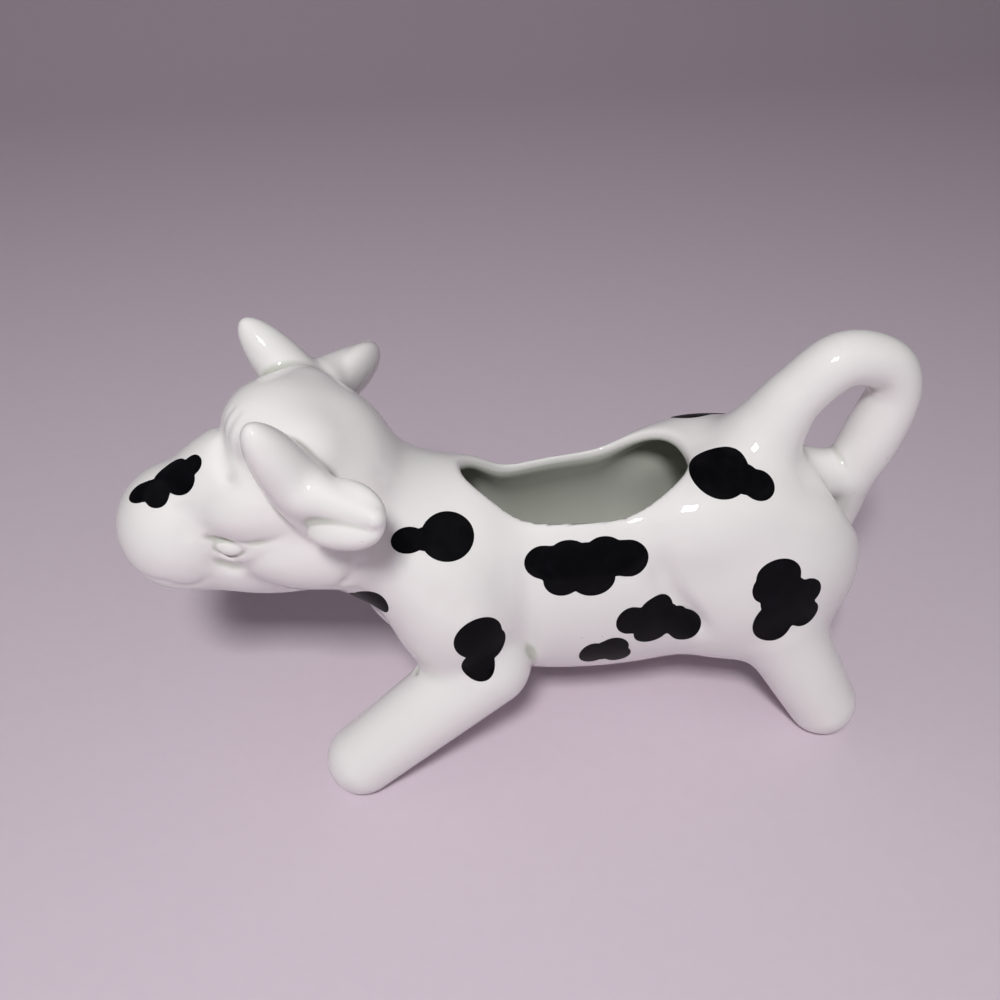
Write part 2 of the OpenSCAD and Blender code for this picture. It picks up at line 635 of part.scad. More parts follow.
// Black transfer fired onto the glaze, lying on the skin
module spot(shares) {
  aim = [shares[0], 0, shares[1]] * cow_length;
  middle = find_skin(aim, aim + [0, -cos(shares[2]), sin(shares[2])] * reach, 0);
  n = skin_normal(middle);
  u = ([1, 0, 0] - n * n.x) / norm([1, 0, 0] - n * n.x);
  v = cross(n, u);
  deep = n * spot_search_share * cow_length;
  edges = [
    for (j = [0:spot_sides - 1])
      let (turn = 360 * j / spot_sides)
      trimmed(middle, u * cos(turn) + v * sin(turn), 0, spot_edge(shares[3], turn))
  ];
  levels = [transfer_lift + transfer_thick, transfer_lift];
  sheets = [
    for (level = levels)
      [
        for (i = [1:spot_bands]) for (j = [0:spot_sides - 1])
          let (
            turn = 360 * j / spot_sides,
            p = middle + (u * cos(turn) + v * sin(turn)) * edges[j] * i / spot_bands
          )
          find_skin(p - deep, p + deep, level)
      ]
  ];
  hubs = [for (level = levels) find_skin(middle - deep, middle + deep, level)];
  back = spot_bands * spot_sides;
  rim = (spot_bands - 1) * spot_sides;
  faces = joined([
    fan(0, 2 * back, spot_sides),
    flip(joined([for (i = [0:spot_bands - 2]) band(i * spot_sides, (i + 1) * spot_sides, spot_sides)])),
    flip(fan(back, 2 * back + 1, spot_sides)),
    joined([for (i = [0:spot_bands - 2]) band(back + i * spot_sides, back + (i + 1) * spot_sides, spot_sides)]),
    flip(band(rim, back + rim, spot_sides))
  ]);
  color(transfer_colour) polyhedron(points = joined([sheets[0], sheets[1], hubs]), faces = faces);
}

body();
head();
leg(leg_shares[0]);  // leg_front_left
leg(leg_shares[1]);  // leg_hind_left
leg(leg_shares[2]);  // leg_front_right
leg(leg_shares[3]);  // leg_hind_right
tail_handle();
horn(left_horn_shares);  // horn_left
horn(right_horn_shares);  // horn_right
ear(-1, left_horn_shares);  // ear_left
ear(1, mirrored(right_horn_shares));  // ear_right
spot(muzzle_spot_shares);  // spot_muzzle
spot(neck_spot_shares);  // spot_neck_left
spot(throat_spot_shares);  // spot_throat
spot(shoulder_spot_shares);  // spot_shoulder_left
spot(flank_spot_shares);  // spot_flank_left
spot(belly_spot_shares);  // spot_belly_left
spot(underbelly_spot_shares);  // spot_underbelly_left
spot(croup_spot_shares);  // spot_croup_left
spot(haunch_spot_shares);  // spot_haunch_left
spot(far_croup_spot_shares);  // spot_croup_right
spot(far_neck_spot_shares);  // spot_neck_right
spot(far_shoulder_spot_shares);  // spot_shoulder_right
spot(far_flank_spot_shares);  // spot_flank_right
spot(far_belly_spot_shares);  // spot_belly_right
spot(far_haunch_spot_shares);  // spot_haunch_right
spot(far_cheek_spot_shares);  // spot_cheek_right
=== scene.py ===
import math

import bpy
import numpy as np
import openvdb
from bpy.props import FloatProperty, PointerProperty, StringProperty
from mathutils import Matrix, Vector


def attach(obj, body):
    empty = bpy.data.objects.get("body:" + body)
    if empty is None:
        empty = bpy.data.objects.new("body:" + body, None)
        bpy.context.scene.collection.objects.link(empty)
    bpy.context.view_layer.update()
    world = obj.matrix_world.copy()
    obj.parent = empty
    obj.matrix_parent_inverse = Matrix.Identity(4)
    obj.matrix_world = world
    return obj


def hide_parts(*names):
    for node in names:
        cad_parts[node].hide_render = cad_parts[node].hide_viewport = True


bl_info = {
    "name": "Cow creamer",
    "version": (1, 0, 0),
    "blender": (4, 5, 0),
    "location": "3D View > Sidebar > Creamer",
    "description": "Glazed porcelain cow creamer with black transfers, built on the packed frame",
    "category": "Mesh",
}

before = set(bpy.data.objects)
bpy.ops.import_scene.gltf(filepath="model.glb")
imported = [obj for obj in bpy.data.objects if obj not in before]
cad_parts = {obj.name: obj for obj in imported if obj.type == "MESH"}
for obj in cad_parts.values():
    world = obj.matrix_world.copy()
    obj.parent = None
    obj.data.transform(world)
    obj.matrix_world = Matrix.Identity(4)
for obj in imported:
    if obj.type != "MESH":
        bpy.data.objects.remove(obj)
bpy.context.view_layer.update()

MM = 0.001
LEFT, RIGHT = -1, 1

# Masses of the slip cast, in millimetres. They come from a fit to the outline in the photo, and the
# rump, haunch, bridge, muzzle, brow and poll were then set one by one
# name: (middle, half-sizes, tilt in degrees that lifts the tail end, blend, paired left and right)
TRUNK_MASSES = {
    "barrel": ((21.5, 0, 42.7), (59.7, 21.4, 29.3), 0.5, 9.5, False),
    "chest": ((-15.0, 0, 47.5), (17.0, 19.6, 24.8), -1.0, 7.5, False),
    "shoulder": ((-18.5, 10.5, 43.7), (15.2, 14.4, 21.6), 13.0, 3.2, True),
    "rump": ((55.5, 0, 52.4), (23.0, 16.6, 18.2), 0.0, 7.5, False),
    "hip": ((40.5, 9.5, 60.5), (18.9, 11.7, 12.2), 5.5, 10.5, True),
    "haunch": ((52.5, 10.6, 42.4), (24.8, 14.4, 25.0), 2.0, 8.0, True),
    "neck": ((-32.0, 0, 60.1), (26.1, 16.9, 18.1), -32.0, 11.5, False),
}
HEAD_MASSES = {
    "skull": ((-45.4, 0, 75.9), (16.9, 18.2, 18.7), 0.0, 8.5, False),
    "cheek": ((-47.8, 7.7, 64.1), (17.2, 11.5, 11.0), -8.0, 6.5, True),
    "bridge": ((-61.7, 0, 75.7), (19.0, 11.7, 12.0), 26.5, 7.5, False),
    "muzzle": ((-76.1, 0, 65.0), (12.9, 13.4, 14.0), 0.5, 5.7, False),
    "jaw": ((-59.2, 0, 56.6), (21.4, 10.9, 9.9), -8.5, 7.7, False),
    "brow": ((-56.5, 10.4, 76.0), (11.5, 6.4, 7.2), 12.0, 5.5, True),
    "forelock": ((-51.2, 0, 88.0), (12.5, 12.4, 9.1), -8.0, 3.3, False),
    "poll": ((-47.8, 9.0, 87.0), (8.6, 8.4, 7.8), 0.0, 6.0, True),
}
# How far from the midline the two masses of a pair start to round into each other
MIDLINE = 1.9

# Legs: hip in the trunk, radius there, middle of the foot, radius there, for a walking cow
LEGS = {
    "leg_front_left": ((-12.0, -16.6, 28.6), 9.8, (-42.9, -21.7, 7.4), 8.4),
    "leg_hind_left": ((58.4, -15.0, 29.8), 10.6, (71.4, -21.9, 7.1), 8.5),
    "leg_front_right": ((-15.0, 14.5, 31.0), 9.8, (5.7, 21.7, 7.4), 8.4),
    "leg_hind_right": ((57.5, 14.0, 31.5), 10.6, (42.4, 21.9, 7.1), 8.5),
}
# How softly a leg runs into the trunk, and the rounding of the flat under each foot
LEG_BLEND = 6.0
FOOT_EDGE = 1.5

# Horns: base and apex of each bullet of clay, then its radius at the base
HORNS = {
    LEFT: ((-48.4, -17.2, 83.5), (-56.0, -20.9, 101.2)),
    RIGHT: ((-47.6, 16.4, 86.3), (-58.6, 21.2, 101.5)),
}
HORN_RADIUS = 6.0
HORN_BLEND = 2.4

# Ears, told on the left: the root, the rolled upper edge, the leaf and the lower lobe, which way these
# two point, how sharp the fold is, and how softly an ear meets its horn
EAR_ROOT = (-46.4, -20.2, 84.8)
EAR_ROLL = (EAR_ROOT, 4.9, (-35.0, -30.2, 85.0), 2.1)
EAR_LEAF = ((-40.2, -25.0, 82.5), (9.3, 6.8, 3.8))
EAR_LOBE = ((-41.2, -28.0, 80.2), (7.4, 3.0, 3.0))
EAR_LEAF_TURN = (0.77, -0.60, 0.20)
EAR_LOBE_TURN = (0.86, -0.46, 0.22)
EAR_DOWN = (0.0, -0.5, -0.85)
EAR_FOLD = 1.4
EAR_LOBE_BLEND = 2.0
EAR_BLEND = 3.8
# How each ear is set: its shift, its turn towards the tail in degrees, and its size
EAR_SET = {LEFT: ((0.0, 0.0, 0.0), 0.0, 1.0), RIGHT: ((3.0, -0.2, 0.6), -8.0, 1.1)}

# Tail: route of its middle and the radius there, from inside the rump round to its pressed-on end
TAIL = [
    ((46.6, 58.5), 10.4), ((50.6, 67.6), 10.2), ((55.2, 76.6), 8.0), ((60.0, 84.4), 6.5),
    ((68.8, 91.9), 6.3), ((79.2, 90.0), 5.9), ((83.0, 82.6), 6.0), ((80.6, 71.5), 6.7),
    ((77.2, 60.5), 5.9), ((77.6, 51.5), 4.2), ((78.0, 43.5), 2.4),
]
# How softly the tail runs into the rump at its root and at its end, and where one gives way to the other
TAIL_BLEND = (9.0, 2.4)
TAIL_BLEND_RUN = (58.0, 68.0)
# A tapered rod of clay fills the crotch under the loop
TAIL_WEB = ((60.0, 0.0, 63.0), 6.5, (76.5, 0.0, 61.0), 5.5)
TAIL_WEB_BLEND = 7.0
# The rump falls away round the end of the tail: balls that are joined into one hollow
TAIL_HOLLOW = [((70.0, 0.0, 80.0), 10.0), ((81.0, 0.0, 63.5), 16.0), ((90.0, 0.0, 48.0), 13.5)]
TAIL_HOLLOW_EDGE = 5.0
TAIL_HOLLOW_BLEND = 1.0

# The slanting plane where the head is luted on, and its lean in degrees
NECK_JOINT = (-33.4, 0.0, 61.2)
NECK_LEAN = 32.0

# Filling opening: its middle, the height it is cut down to, how much wider it is towards the tail
# and how square its ends are (2 is an ellipse)
OPENING_MIDDLE = 10.2
OPENING_FLOOR = 47.0
OPENING_EGG = 0.2
OPENING_SQUARE = 2.3
# Pouring mouth: its middle, its slope up into the head, and half the length of its hole
MOUTH_MIDDLE = (-84.6, 0.0, 59.9)
MOUTH_SLOPE = 14.0
MOUTH_HALF_RUN = 8
# How softly the opening and the mouth run into the hollow
OPENING_BLEND = 2.0
MOUTH_BLEND = 1.5

# Lines modelled into the clay, on the left side: path, width, depth (below zero raises a ridge).
# Those of the eye and brow were measured in the photo
HEAD_LINES = {
    "upper lid": ([(-73.2, -11.9, 70.4), (-70.4, -11.7, 69.9), (-67.6, -11.2, 69.0),
        (-65.3, -11.4, 69.2), (-62.7, -12.7, 69.8), (-60.1, -14.6, 70.0), (-57.2, -16.2, 70.8),
        (-54.2, -17.2, 72.0), (-51.6, -17.8, 73.6)], 1.0, 0.4),
    "lid fold": ([(-69.0, -11.6, 71.0), (-66.4, -11.6, 71.4), (-62.7, -13.0, 71.6),
        (-59.0, -15.4, 72.0)], 1.6, -0.2),
    "lower lid": ([(-68.0, -11.2, 67.2), (-66.7, -10.9, 65.2), (-64.8, -11.3, 64.3),
        (-62.5, -13.2, 66.0), (-60.4, -14.8, 68.2)], 0.8, 0.4),
    "lid rim": ([(-68.8, -11.4, 66.5), (-67.2, -10.9, 64.2), (-64.8, -11.0, 63.1),
        (-61.9, -14.0, 65.2), (-59.4, -15.6, 68.0)], 0.9, -0.35),
    "eye bag": ([(-70.0, -11.8, 66.6), (-68.8, -11.4, 63.8), (-66.8, -10.9, 61.4),
        (-64.2, -11.5, 60.8), (-61.2, -14.8, 63.6), (-57.8, -16.4, 67.2), (-54.4, -17.3, 70.2)],
        1.5, 0.5),
    "mouth line": ([(-87.0, -3.0, 61.0), (-84.0, -8.0, 60.5), (-79.2, -11.4, 59.4),
        (-77.0, -11.2, 58.0), (-74.8, -10.8, 57.3), (-72.6, -10.9, 57.6), (-70.9, -11.2, 59.0),
        (-69.9, -11.4, 60.6)], 1.4, 0.3),
    "muzzle edge": ([(-72.7, -8.9, 77.8), (-72.7, -10.4, 75.2), (-72.2, -11.6, 72.2),
        (-71.0, -12.0, 69.5)], 2.4, 0.5),
    "under forelock": ([(-62.0, -1.0, 93.0), (-63.6, -3.7, 89.0), (-64.2, -5.8, 86.6),
        (-63.6, -8.1, 84.6), (-62.2, -10.4, 82.6), (-60.0, -13.2, 81.6)], 1.8, 0.9),
    "hair line 1": ([(-59.5, -2.6, 95.2), (-61.6, -3.2, 93.0), (-63.2, -3.6, 89.8)], 0.8, 0.18),
    "hair line 2": ([(-57.9, -4.6, 95.6), (-60.4, -5.6, 93.2), (-62.4, -6.2, 89.2),
        (-62.9, -6.6, 87.0)], 0.8, 0.2),
    "hair line 3": ([(-56.9, -7.0, 94.8), (-59.2, -8.0, 92.0), (-60.9, -8.6, 88.4),
        (-61.5, -9.2, 85.6)], 0.8, 0.2),
}
TRUNK_LINES = {
    "shoulder top": ([(-25.6, -20.8, 57.4), (-22.4, -22.0, 55.9), (-19.6, -23.0, 53.4),
        (-17.3, -23.8, 50.2)], 2.6, 0.45),
    "shoulder back": ([(-3.8, -15.0, 61.0), (-3.4, -18.0, 55.4), (-3.2, -19.4, 49.5),
        (-3.0, -19.8, 43.0), (-2.4, -19.0, 35.0), (-1.2, -16.4, 27.0)], 2.2, 1.2),
    "shoulder crease": ([(-3.4, -18.6, 53.0), (-3.1, -19.6, 47.0), (-2.9, -19.7, 41.0),
        (-2.4, -19.0, 35.0), (-1.8, -17.6, 30.0)], 1.2, 0.6),
    "haunch front": ([(25.0, -18.0, 62.0), (25.6, -19.9, 56.5), (27.0, -20.7, 51.5),
        (29.6, -21.2, 46.6), (33.2, -21.4, 41.8), (36.6, -21.3, 36.9), (39.0, -20.0, 32.0)],
        2.8, 1.9),
    "haunch crease": ([(27.4, -20.7, 51.0), (29.9, -21.2, 46.6), (33.3, -21.4, 41.8),
        (36.6, -21.3, 37.4)], 1.4, 0.5),
    "brisket": ([(-28.5, -9.5, 30.5), (-28.3, -13.5, 29.0), (-27.0, -17.5, 26.8),
        (-24.6, -20.6, 24.6), (-21.6, -22.4, 23.2)], 1.3, 1.1),
    "throat": ([(-37.4, -17.6, 66.0), (-39.4, -18.0, 63.0), (-41.6, -17.6, 60.0),
        (-43.2, -15.6, 57.4)], 1.6, 0.6),
}

# Transfers: aim point along the trunk and its height, turn from the left side in degrees,
# and the lobes as (along, across, half-length, half-width). The near ones were measured in the photo
SPOTS = {
    "spot_muzzle": ((-74.5, 66.0, 73), [(-6.7, -1.2, 3.9, 2.4), (-3.6, -2.6, 2.7, 3.0),
        (0.0, 0.6, 4.6, 3.5), (2.2, -1.4, 3.6, 2.8), (5.4, 0.9, 2.5, 2.2)]),
    "spot_neck_left": ((-24.2, 53.7, 40), [(-4.2, 0.1, 3.7, 2.8), (4.1, 0.0, 5.8, 5.3),
        (-0.8, 0.0, 2.6, 2.5)]),
    "spot_throat": ((-38.0, 61.2, -39), [(-1.3, -0.9, 3.0, 3.0), (1.2, 0.8, 4.1, 3.9)]),
    "spot_shoulder_left": ((-15.1, 42.9, -3), [(0.1, 2.8, 5.6, 5.6), (2.4, 0.2, 4.2, 4.4),
        (-0.2, -4.8, 3.7, 4.3)]),
    "spot_flank_left": ((8.9, 46.5, 32), [(-8.6, 0.5, 4.3, 3.8), (-3.2, 1.5, 4.6, 3.6),
        (4.6, 1.8, 4.4, 3.5), (9.7, -0.1, 4.5, 4.3), (1.8, -3.8, 5.0, 4.3),
        (-4.9, -3.8, 4.1, 3.7), (0.5, 0.0, 7.5, 4.3)]),
    "spot_belly_left": ((26.9, 42.9, -4), [(-7.0, 0.3, 3.6, 4.2), (-1.4, 2.5, 4.0, 3.9),
        (4.0, -0.3, 2.2, 2.3), (6.0, -3.9, 3.8, 4.6), (-2.2, -4.2, 3.9, 3.8),
        (-0.5, -1.0, 5.2, 5.0)]),
    "spot_underbelly_left": ((14.3, 42.9, -27), [(-2.2, -2.5, 3.2, 4.8), (2.2, -0.6, 3.8, 4.5),
        (4.0, -4.0, 3.0, 3.9), (0.5, -1.6, 3.0, 4.6)]),
    "spot_croup_left": ((43.0, 53.7, 57), [(-3.0, 2.0, 6.4, 7.1), (4.4, -2.4, 3.9, 3.5),
        (1.6, -0.8, 3.6, 3.8)]),
    "spot_haunch_left": ((53.7, 45.6, 2), [(-1.9, 6.2, 5.2, 4.3), (-5.0, 3.2, 2.7, 3.6),
        (5.2, 0.6, 3.9, 3.8), (5.9, -5.6, 3.7, 3.7), (-1.4, -6.6, 4.8, 6.2), (0.3, 0.0, 5.8, 6.0)]),
    "spot_croup_right": ((45.0, 53.7, 131), [(-2.8, 0.0, 5.0, 4.4), (3.2, 0.7, 4.2, 3.6)]),
    "spot_neck_right": ((-21.1, 53.7, 150), [(-2.9, 0.7, 4.3, 3.9), (3.2, -1.1, 5.4, 4.7)]),
    "spot_shoulder_right": ((-14.9, 42.9, 178), [(0.0, -3.2, 5.4, 5.4), (0.7, 3.9, 6.4, 5.0)]),
    "spot_flank_right": ((12.9, 46.5, 157), [(-7.2, 0.0, 4.7, 3.6), (0.0, 1.8, 6.4, 3.9),
        (6.8, -0.4, 4.7, 3.9), (1.8, -3.2, 5.4, 3.2)]),
    "spot_belly_right": ((23.6, 42.9, 195), [(-3.9, 0.0, 4.3, 3.6), (2.9, 1.1, 5.0, 3.9)]),
    "spot_haunch_right": ((55.8, 45.6, 175), [(0.0, 4.7, 5.4, 4.7), (-2.1, -2.5, 4.7, 5.4),
        (3.6, -1.4, 4.3, 4.3)]),
    "spot_cheek_right": ((-44.4, 64.4, 176), [(-1.4, 0.0, 3.9, 3.2), (2.5, 0.7, 3.2, 2.9)]),
}


# Distances to the clay forms, in millimetres. Away from its box a form counts as this far off
FAR = 12.0


def blend(a, b, soft):
    """Smooth union of two distances."""
    h = np.maximum(soft - np.abs(a - b), 0) / soft
    return np.minimum(a, b) - h * h * h * soft / 6


def carve(a, b, soft):
    """What is in a and not in b, with a rounded edge."""
    return -blend(-a, b, soft)


def scaled_length(*terms):
    return np.sqrt(sum((value / size) ** 2 for value, size in terms))


def ovoid(x, y, z, half):
    near = scaled_length((x, half[0]), (y, half[1]), (z, half[2]))
    steep = scaled_length((x, half[0] ** 2), (y, half[1] ** 2), (z, half[2] ** 2))
    return near * (near - 1) / (steep + 1e-9)


def mass(p, spec):
    (cx, cy, cz), half, tilt, _, paired = spec
    x, y, z = p[:, 0] - cx, p[:, 1], p[:, 2] - cz
    y = (np.sqrt(y * y + MIDLINE * MIDLINE) if paired else y) - cy
    c, s = math.cos(math.radians(tilt)), math.sin(math.radians(tilt))
    return ovoid(c * x + s * z, y, c * z - s * x, half)


def tapered(p, a, radius_a, b, radius_b):
    """A round rod that narrows from one ball end to the other."""
    a, b = np.array(a), np.array(b)
    length = np.linalg.norm(b - a)
    along = (b - a) / length
    q = p - a
    run = q @ along
    off = np.sqrt(np.maximum((q * q).sum(axis=1) - run * run, 0))
    narrowing = min((radius_a - radius_b) / length, 0.9)
    t = np.clip((run - off * narrowing / math.sqrt(1 - narrowing ** 2)) / length, 0, 1)
    return np.hypot(off, run - t * length) - (radius_a + (radius_b - radius_a) * t)


def masses(p, table, gap=None):
    for spec in table.values():
        near = mass(p, spec)
        gap = near if gap is None else blend(gap, near, spec[3])
    return gap


def mirrored(p):
    """The same place on the left side, for forms that are paired."""
    q = p.copy()
    q[:, 1] = -np.abs(q[:, 1])
    return q


def axes(start, end, aside):
    """Length of a run, and its directions along, aside and across."""
    start, end, aside = np.array(start), np.array(end), np.array(aside)
    length = np.linalg.norm(end - start)
    along = (end - start) / length
    aside = aside - along * (along @ aside)
    aside /= np.linalg.norm(aside)
    return length, along, aside, np.cross(along, aside)


def horn(p, side):
    """A bullet of clay: half an ovoid from its base to its apex."""
    base, apex = HORNS[side]
    length, along, aside, across = axes(base, apex, (0.0, 1.0, 0.0))
    q = p - base
    return ovoid(q @ along, q @ aside, q @ across, (length, HORN_RADIUS, HORN_RADIUS))


def lens(p, middle, half, turn):
    """An ovoid in the plane of the ear: its half-length, half-height and half-thickness."""
    _, along, down, across = axes((0, 0, 0), turn, EAR_DOWN)
    q = p - middle
    return ovoid(q @ along, q @ down, q @ across, half)


def ear(p, side):
    """A leaf with a thick rolled edge above, a lobe below and a sharp fold between them."""
    shift, turn, size = EAR_SET[side]
    c, s = math.cos(math.radians(turn)), math.sin(math.radians(turn))
    q = (p * (1, -side, 1) - EAR_ROOT - shift) / size
    q = np.stack([c * q[:, 0] + s * q[:, 1], c * q[:, 1] - s * q[:, 0], q[:, 2]], axis=1) + EAR_ROOT
    leaf = blend(lens(q, *EAR_LEAF, EAR_LEAF_TURN), lens(q, *EAR_LOBE, EAR_LOBE_TURN), EAR_LOBE_BLEND)
    return blend(leaf, tapered(q, *EAR_ROLL), EAR_FOLD) * size


def route_cubics(rows):
    """A smooth run through rows of place and radius: the cubic of each stretch, constant term first."""
    keys = np.array(rows, dtype=float)
    ends = np.concatenate([keys[:1], keys, keys[-1:]])
    a, b, c, d = ends[:-3], ends[1:-2], ends[2:-1], ends[3:]
    return np.stack([b, (c - a) / 2, (2 * a - 5 * b + 4 * c - d) / 2, (3 * b - a - 3 * c + d) / 2])


TAIL_CUBICS = route_cubics([(x, 0.0, z, radius) for (x, z), radius in TAIL])


def along_route(cubics, t):
    """Place and radius at t, and how fast they change there."""
    stretch = np.clip(t.astype(int), 0, cubics.shape[1] - 1)
    f = (t - stretch)[:, None]
    a, b, c, d = (term[stretch] for term in cubics)
    return a + f * (b + f * (c + f * d)), b + f * (2 * c + 3 * f * d)


def swept(p, cubics, steps=5, rounds=3):
    """Distance to a rod of changing radius along a smooth route, and where on it the nearest place is."""
    last = cubics.shape[1]
    nearest, gap = np.zeros(len(p)), np.full(len(p), 1e9)
    for t in np.linspace(0, last, last * steps + 1):
        centre = along_route(cubics, np.array([t]))[0][0]
        off = np.linalg.norm(p - centre[:3], axis=1) - centre[3]
        nearest = np.where(off < gap, t, nearest)
        gap = np.minimum(gap, off)
    for _ in range(rounds):
        place, speed = along_route(cubics, nearest)
        off = p - place[:, :3]
        reach = np.linalg.norm(off, axis=1)
        pull = (off * speed[:, :3]).sum(axis=1) + reach * speed[:, 3]
        nearest = np.clip(nearest + pull / (speed[:, :3] ** 2).sum(axis=1), 0, last)
    place, _ = along_route(cubics, nearest)
    return np.linalg.norm(p - place[:, :3], axis=1) - place[:, 3], nearest


def far_from(p, low, high, margin):
    return ((p < np.array(low) - margin) | (p > np.array(high) + margin)).any(axis=1)


def within(p, low, high, margin, outside, form):
    """Works a form out only near its box; elsewhere it is simply far away."""
    gap = np.full(len(p), outside, dtype=p.dtype)
    near = ~far_from(p, low, high, margin)
    if near.any():
        gap[near] = form(p[near])
    return gap


def tail(p):
    return within(p, (34, -12, 38), (90, 12, 99), 8, FAR, lambda q: swept(q, TAIL_CUBICS)[0])


def leg(p, name):
    hip, hip_radius, foot, foot_radius = LEGS[name]
    return tapered(p, hip, hip_radius, foot, foot_radius)


# Share of a modelled line over which it fades in and out at its ends
LINE_FADE = 0.32


def modelled_line(p, path, width, depth):
    """Depth of a line pressed (or a ridge raised) along a path on both sides of the cow."""
    amount = np.zeros(len(p), dtype=p.dtype)
    near = ~far_from(mirrored(p), np.min(path, axis=0), np.max(path, axis=0), 3.2 * width)
    if near.any():
        reach, run = swept(mirrored(p[near]), route_cubics([(*place, 0.0) for place in path]), 4, 2)
        last = len(path) - 1
        ends = np.clip(np.minimum(run, last - run) / (LINE_FADE * last), 0, 1)
        amount[near] = depth * (0.1 + 0.9 * ends * ends * (3 - 2 * ends)) * np.exp(-(reach / width) ** 2)
    return amount


EYE = (-64.2, -10.6, 66.6)
EYE_TURN = (0.888, -0.45, 0.1)
EYE_HALF = (4.8, 2.6, 2.4)
EYE_BLEND = 0.8


def eyeball(p):
    """An almond of clay that lies along the side of the face."""
    _, along, out, up = axes((0, 0, 0), EYE_TURN, (0.0, -1.0, 0.0))
    q = p - EYE
    return ovoid(q @ along, q @ out, q @ up, EYE_HALF)


def tail_hollow(p):
    (top, high), (middle, wide), (foot, low) = TAIL_HOLLOW
    return blend(tapered(p, top, high, middle, wide), tapered(p, middle, wide, foot, low), TAIL_HOLLOW_BLEND)


def casting(p):
    """Trunk and head as they leave the mould, without limbs or modelled lines."""
    gap = masses(p, HEAD_MASSES, masses(p, TRUNK_MASSES))
    gap = carve(gap, within(p, (60, -15, 36), (96, 15, 88), 6, FAR, tail_hollow), TAIL_HOLLOW_EDGE)
    return blend(gap, tapered(p, *TAIL_WEB), TAIL_WEB_BLEND)


def side_box(low, high):
    """A box on the left side and its mirror image on the right."""
    (x0, y0, z0), (x1, y1, z1) = low, high
    return {LEFT: ((x0, y0, z0), (x1, y1, z1)), RIGHT: ((x0, -y1, z0), (x1, -y0, z1))}


HORN_BOX = side_box((-66, -30, 72), (-38, -8, 106))
EAR_BOX = side_box((-56, -46, 66), (-24, -10, 100))


def outside_skin(p, cast):
    """The cast with its legs, tail, horns and ears luted on and its lines modelled."""
    gap = cast
    for name in LEGS:
        gap = blend(gap, leg(p, name), LEG_BLEND)
    gap = blend(gap, tail(p), np.interp(p[:, 0], TAIL_BLEND_RUN, TAIL_BLEND).astype(p.dtype))
    for side in (LEFT, RIGHT):
        pair = blend(within(p, *HORN_BOX[side], 6, FAR, lambda q: horn(q, side)),
                     within(p, *EAR_BOX[side], 6, FAR, lambda q: ear(q, side)), EAR_BLEND)
        gap = blend(gap, pair, HORN_BLEND)
    eye = within(mirrored(p), (-70, -18, 60), (-58, -6, 74), 4, FAR, eyeball)
    gap = blend(gap, eye, EYE_BLEND)
    for path, width, depth in list(HEAD_LINES.values()) + list(TRUNK_LINES.values()):
        gap = gap + modelled_line(p, path, width, depth)
    return carve(gap, p[:, 2], FOOT_EDGE)


def hollow(p, cast, sizes):
    """The inside of the jug, its filling opening and its pouring mouth."""
    cavity = cast + sizes.wall / MM
    length, width = sizes.opening_length / MM / 2, sizes.opening_width / MM / 2
    x = np.abs(p[:, 0] - OPENING_MIDDLE) / length
    widening = 1 + OPENING_EGG * np.clip((p[:, 0] - OPENING_MIDDLE) / length, -1, 1)
    y = np.abs(p[:, 1]) / (width * widening)
    n = OPENING_SQUARE
    near = (x ** n + y ** n) ** (1 / n) + 1e-6
    steep = scaled_length((x ** (n - 1), length), (y ** (n - 1), width)) * near ** (1 - n)
    column = np.maximum((near - 1) / (steep + 1e-9), OPENING_FLOOR - p[:, 2])
    c, s = math.cos(math.radians(MOUTH_SLOPE)), math.sin(math.radians(MOUTH_SLOPE))
    q = p - MOUTH_MIDDLE
    along, rise = -c * q[:, 0] - s * q[:, 2], -s * q[:, 0] + c * q[:, 2]
    near = scaled_length((q[:, 1], sizes.mouth_width / MM / 2), (rise, sizes.mouth_height / MM / 2))
    tunnel = np.maximum((near - 1) * sizes.mouth_height / MM / 2, np.abs(along) - MOUTH_HALF_RUN)
    return blend(blend(cavity, column, OPENING_BLEND), tunnel, MOUTH_BLEND)


def glazed_gap(p, sizes):
    """Distance to the finished glazed surface, inside and out."""
    cast = casting(p)
    return carve(outside_skin(p, cast), hollow(p, cast, sizes), 2 * sizes.lip_round / MM)


# From distances to meshes: the spacing of each skin, and how many spacings a block of it is wide
HEAD_PITCH = 0.5
TRUNK_PITCH = 0.75
BLOCK = 8
# Blocks worked out in one go, which keeps the memory small
BATCH = 1500


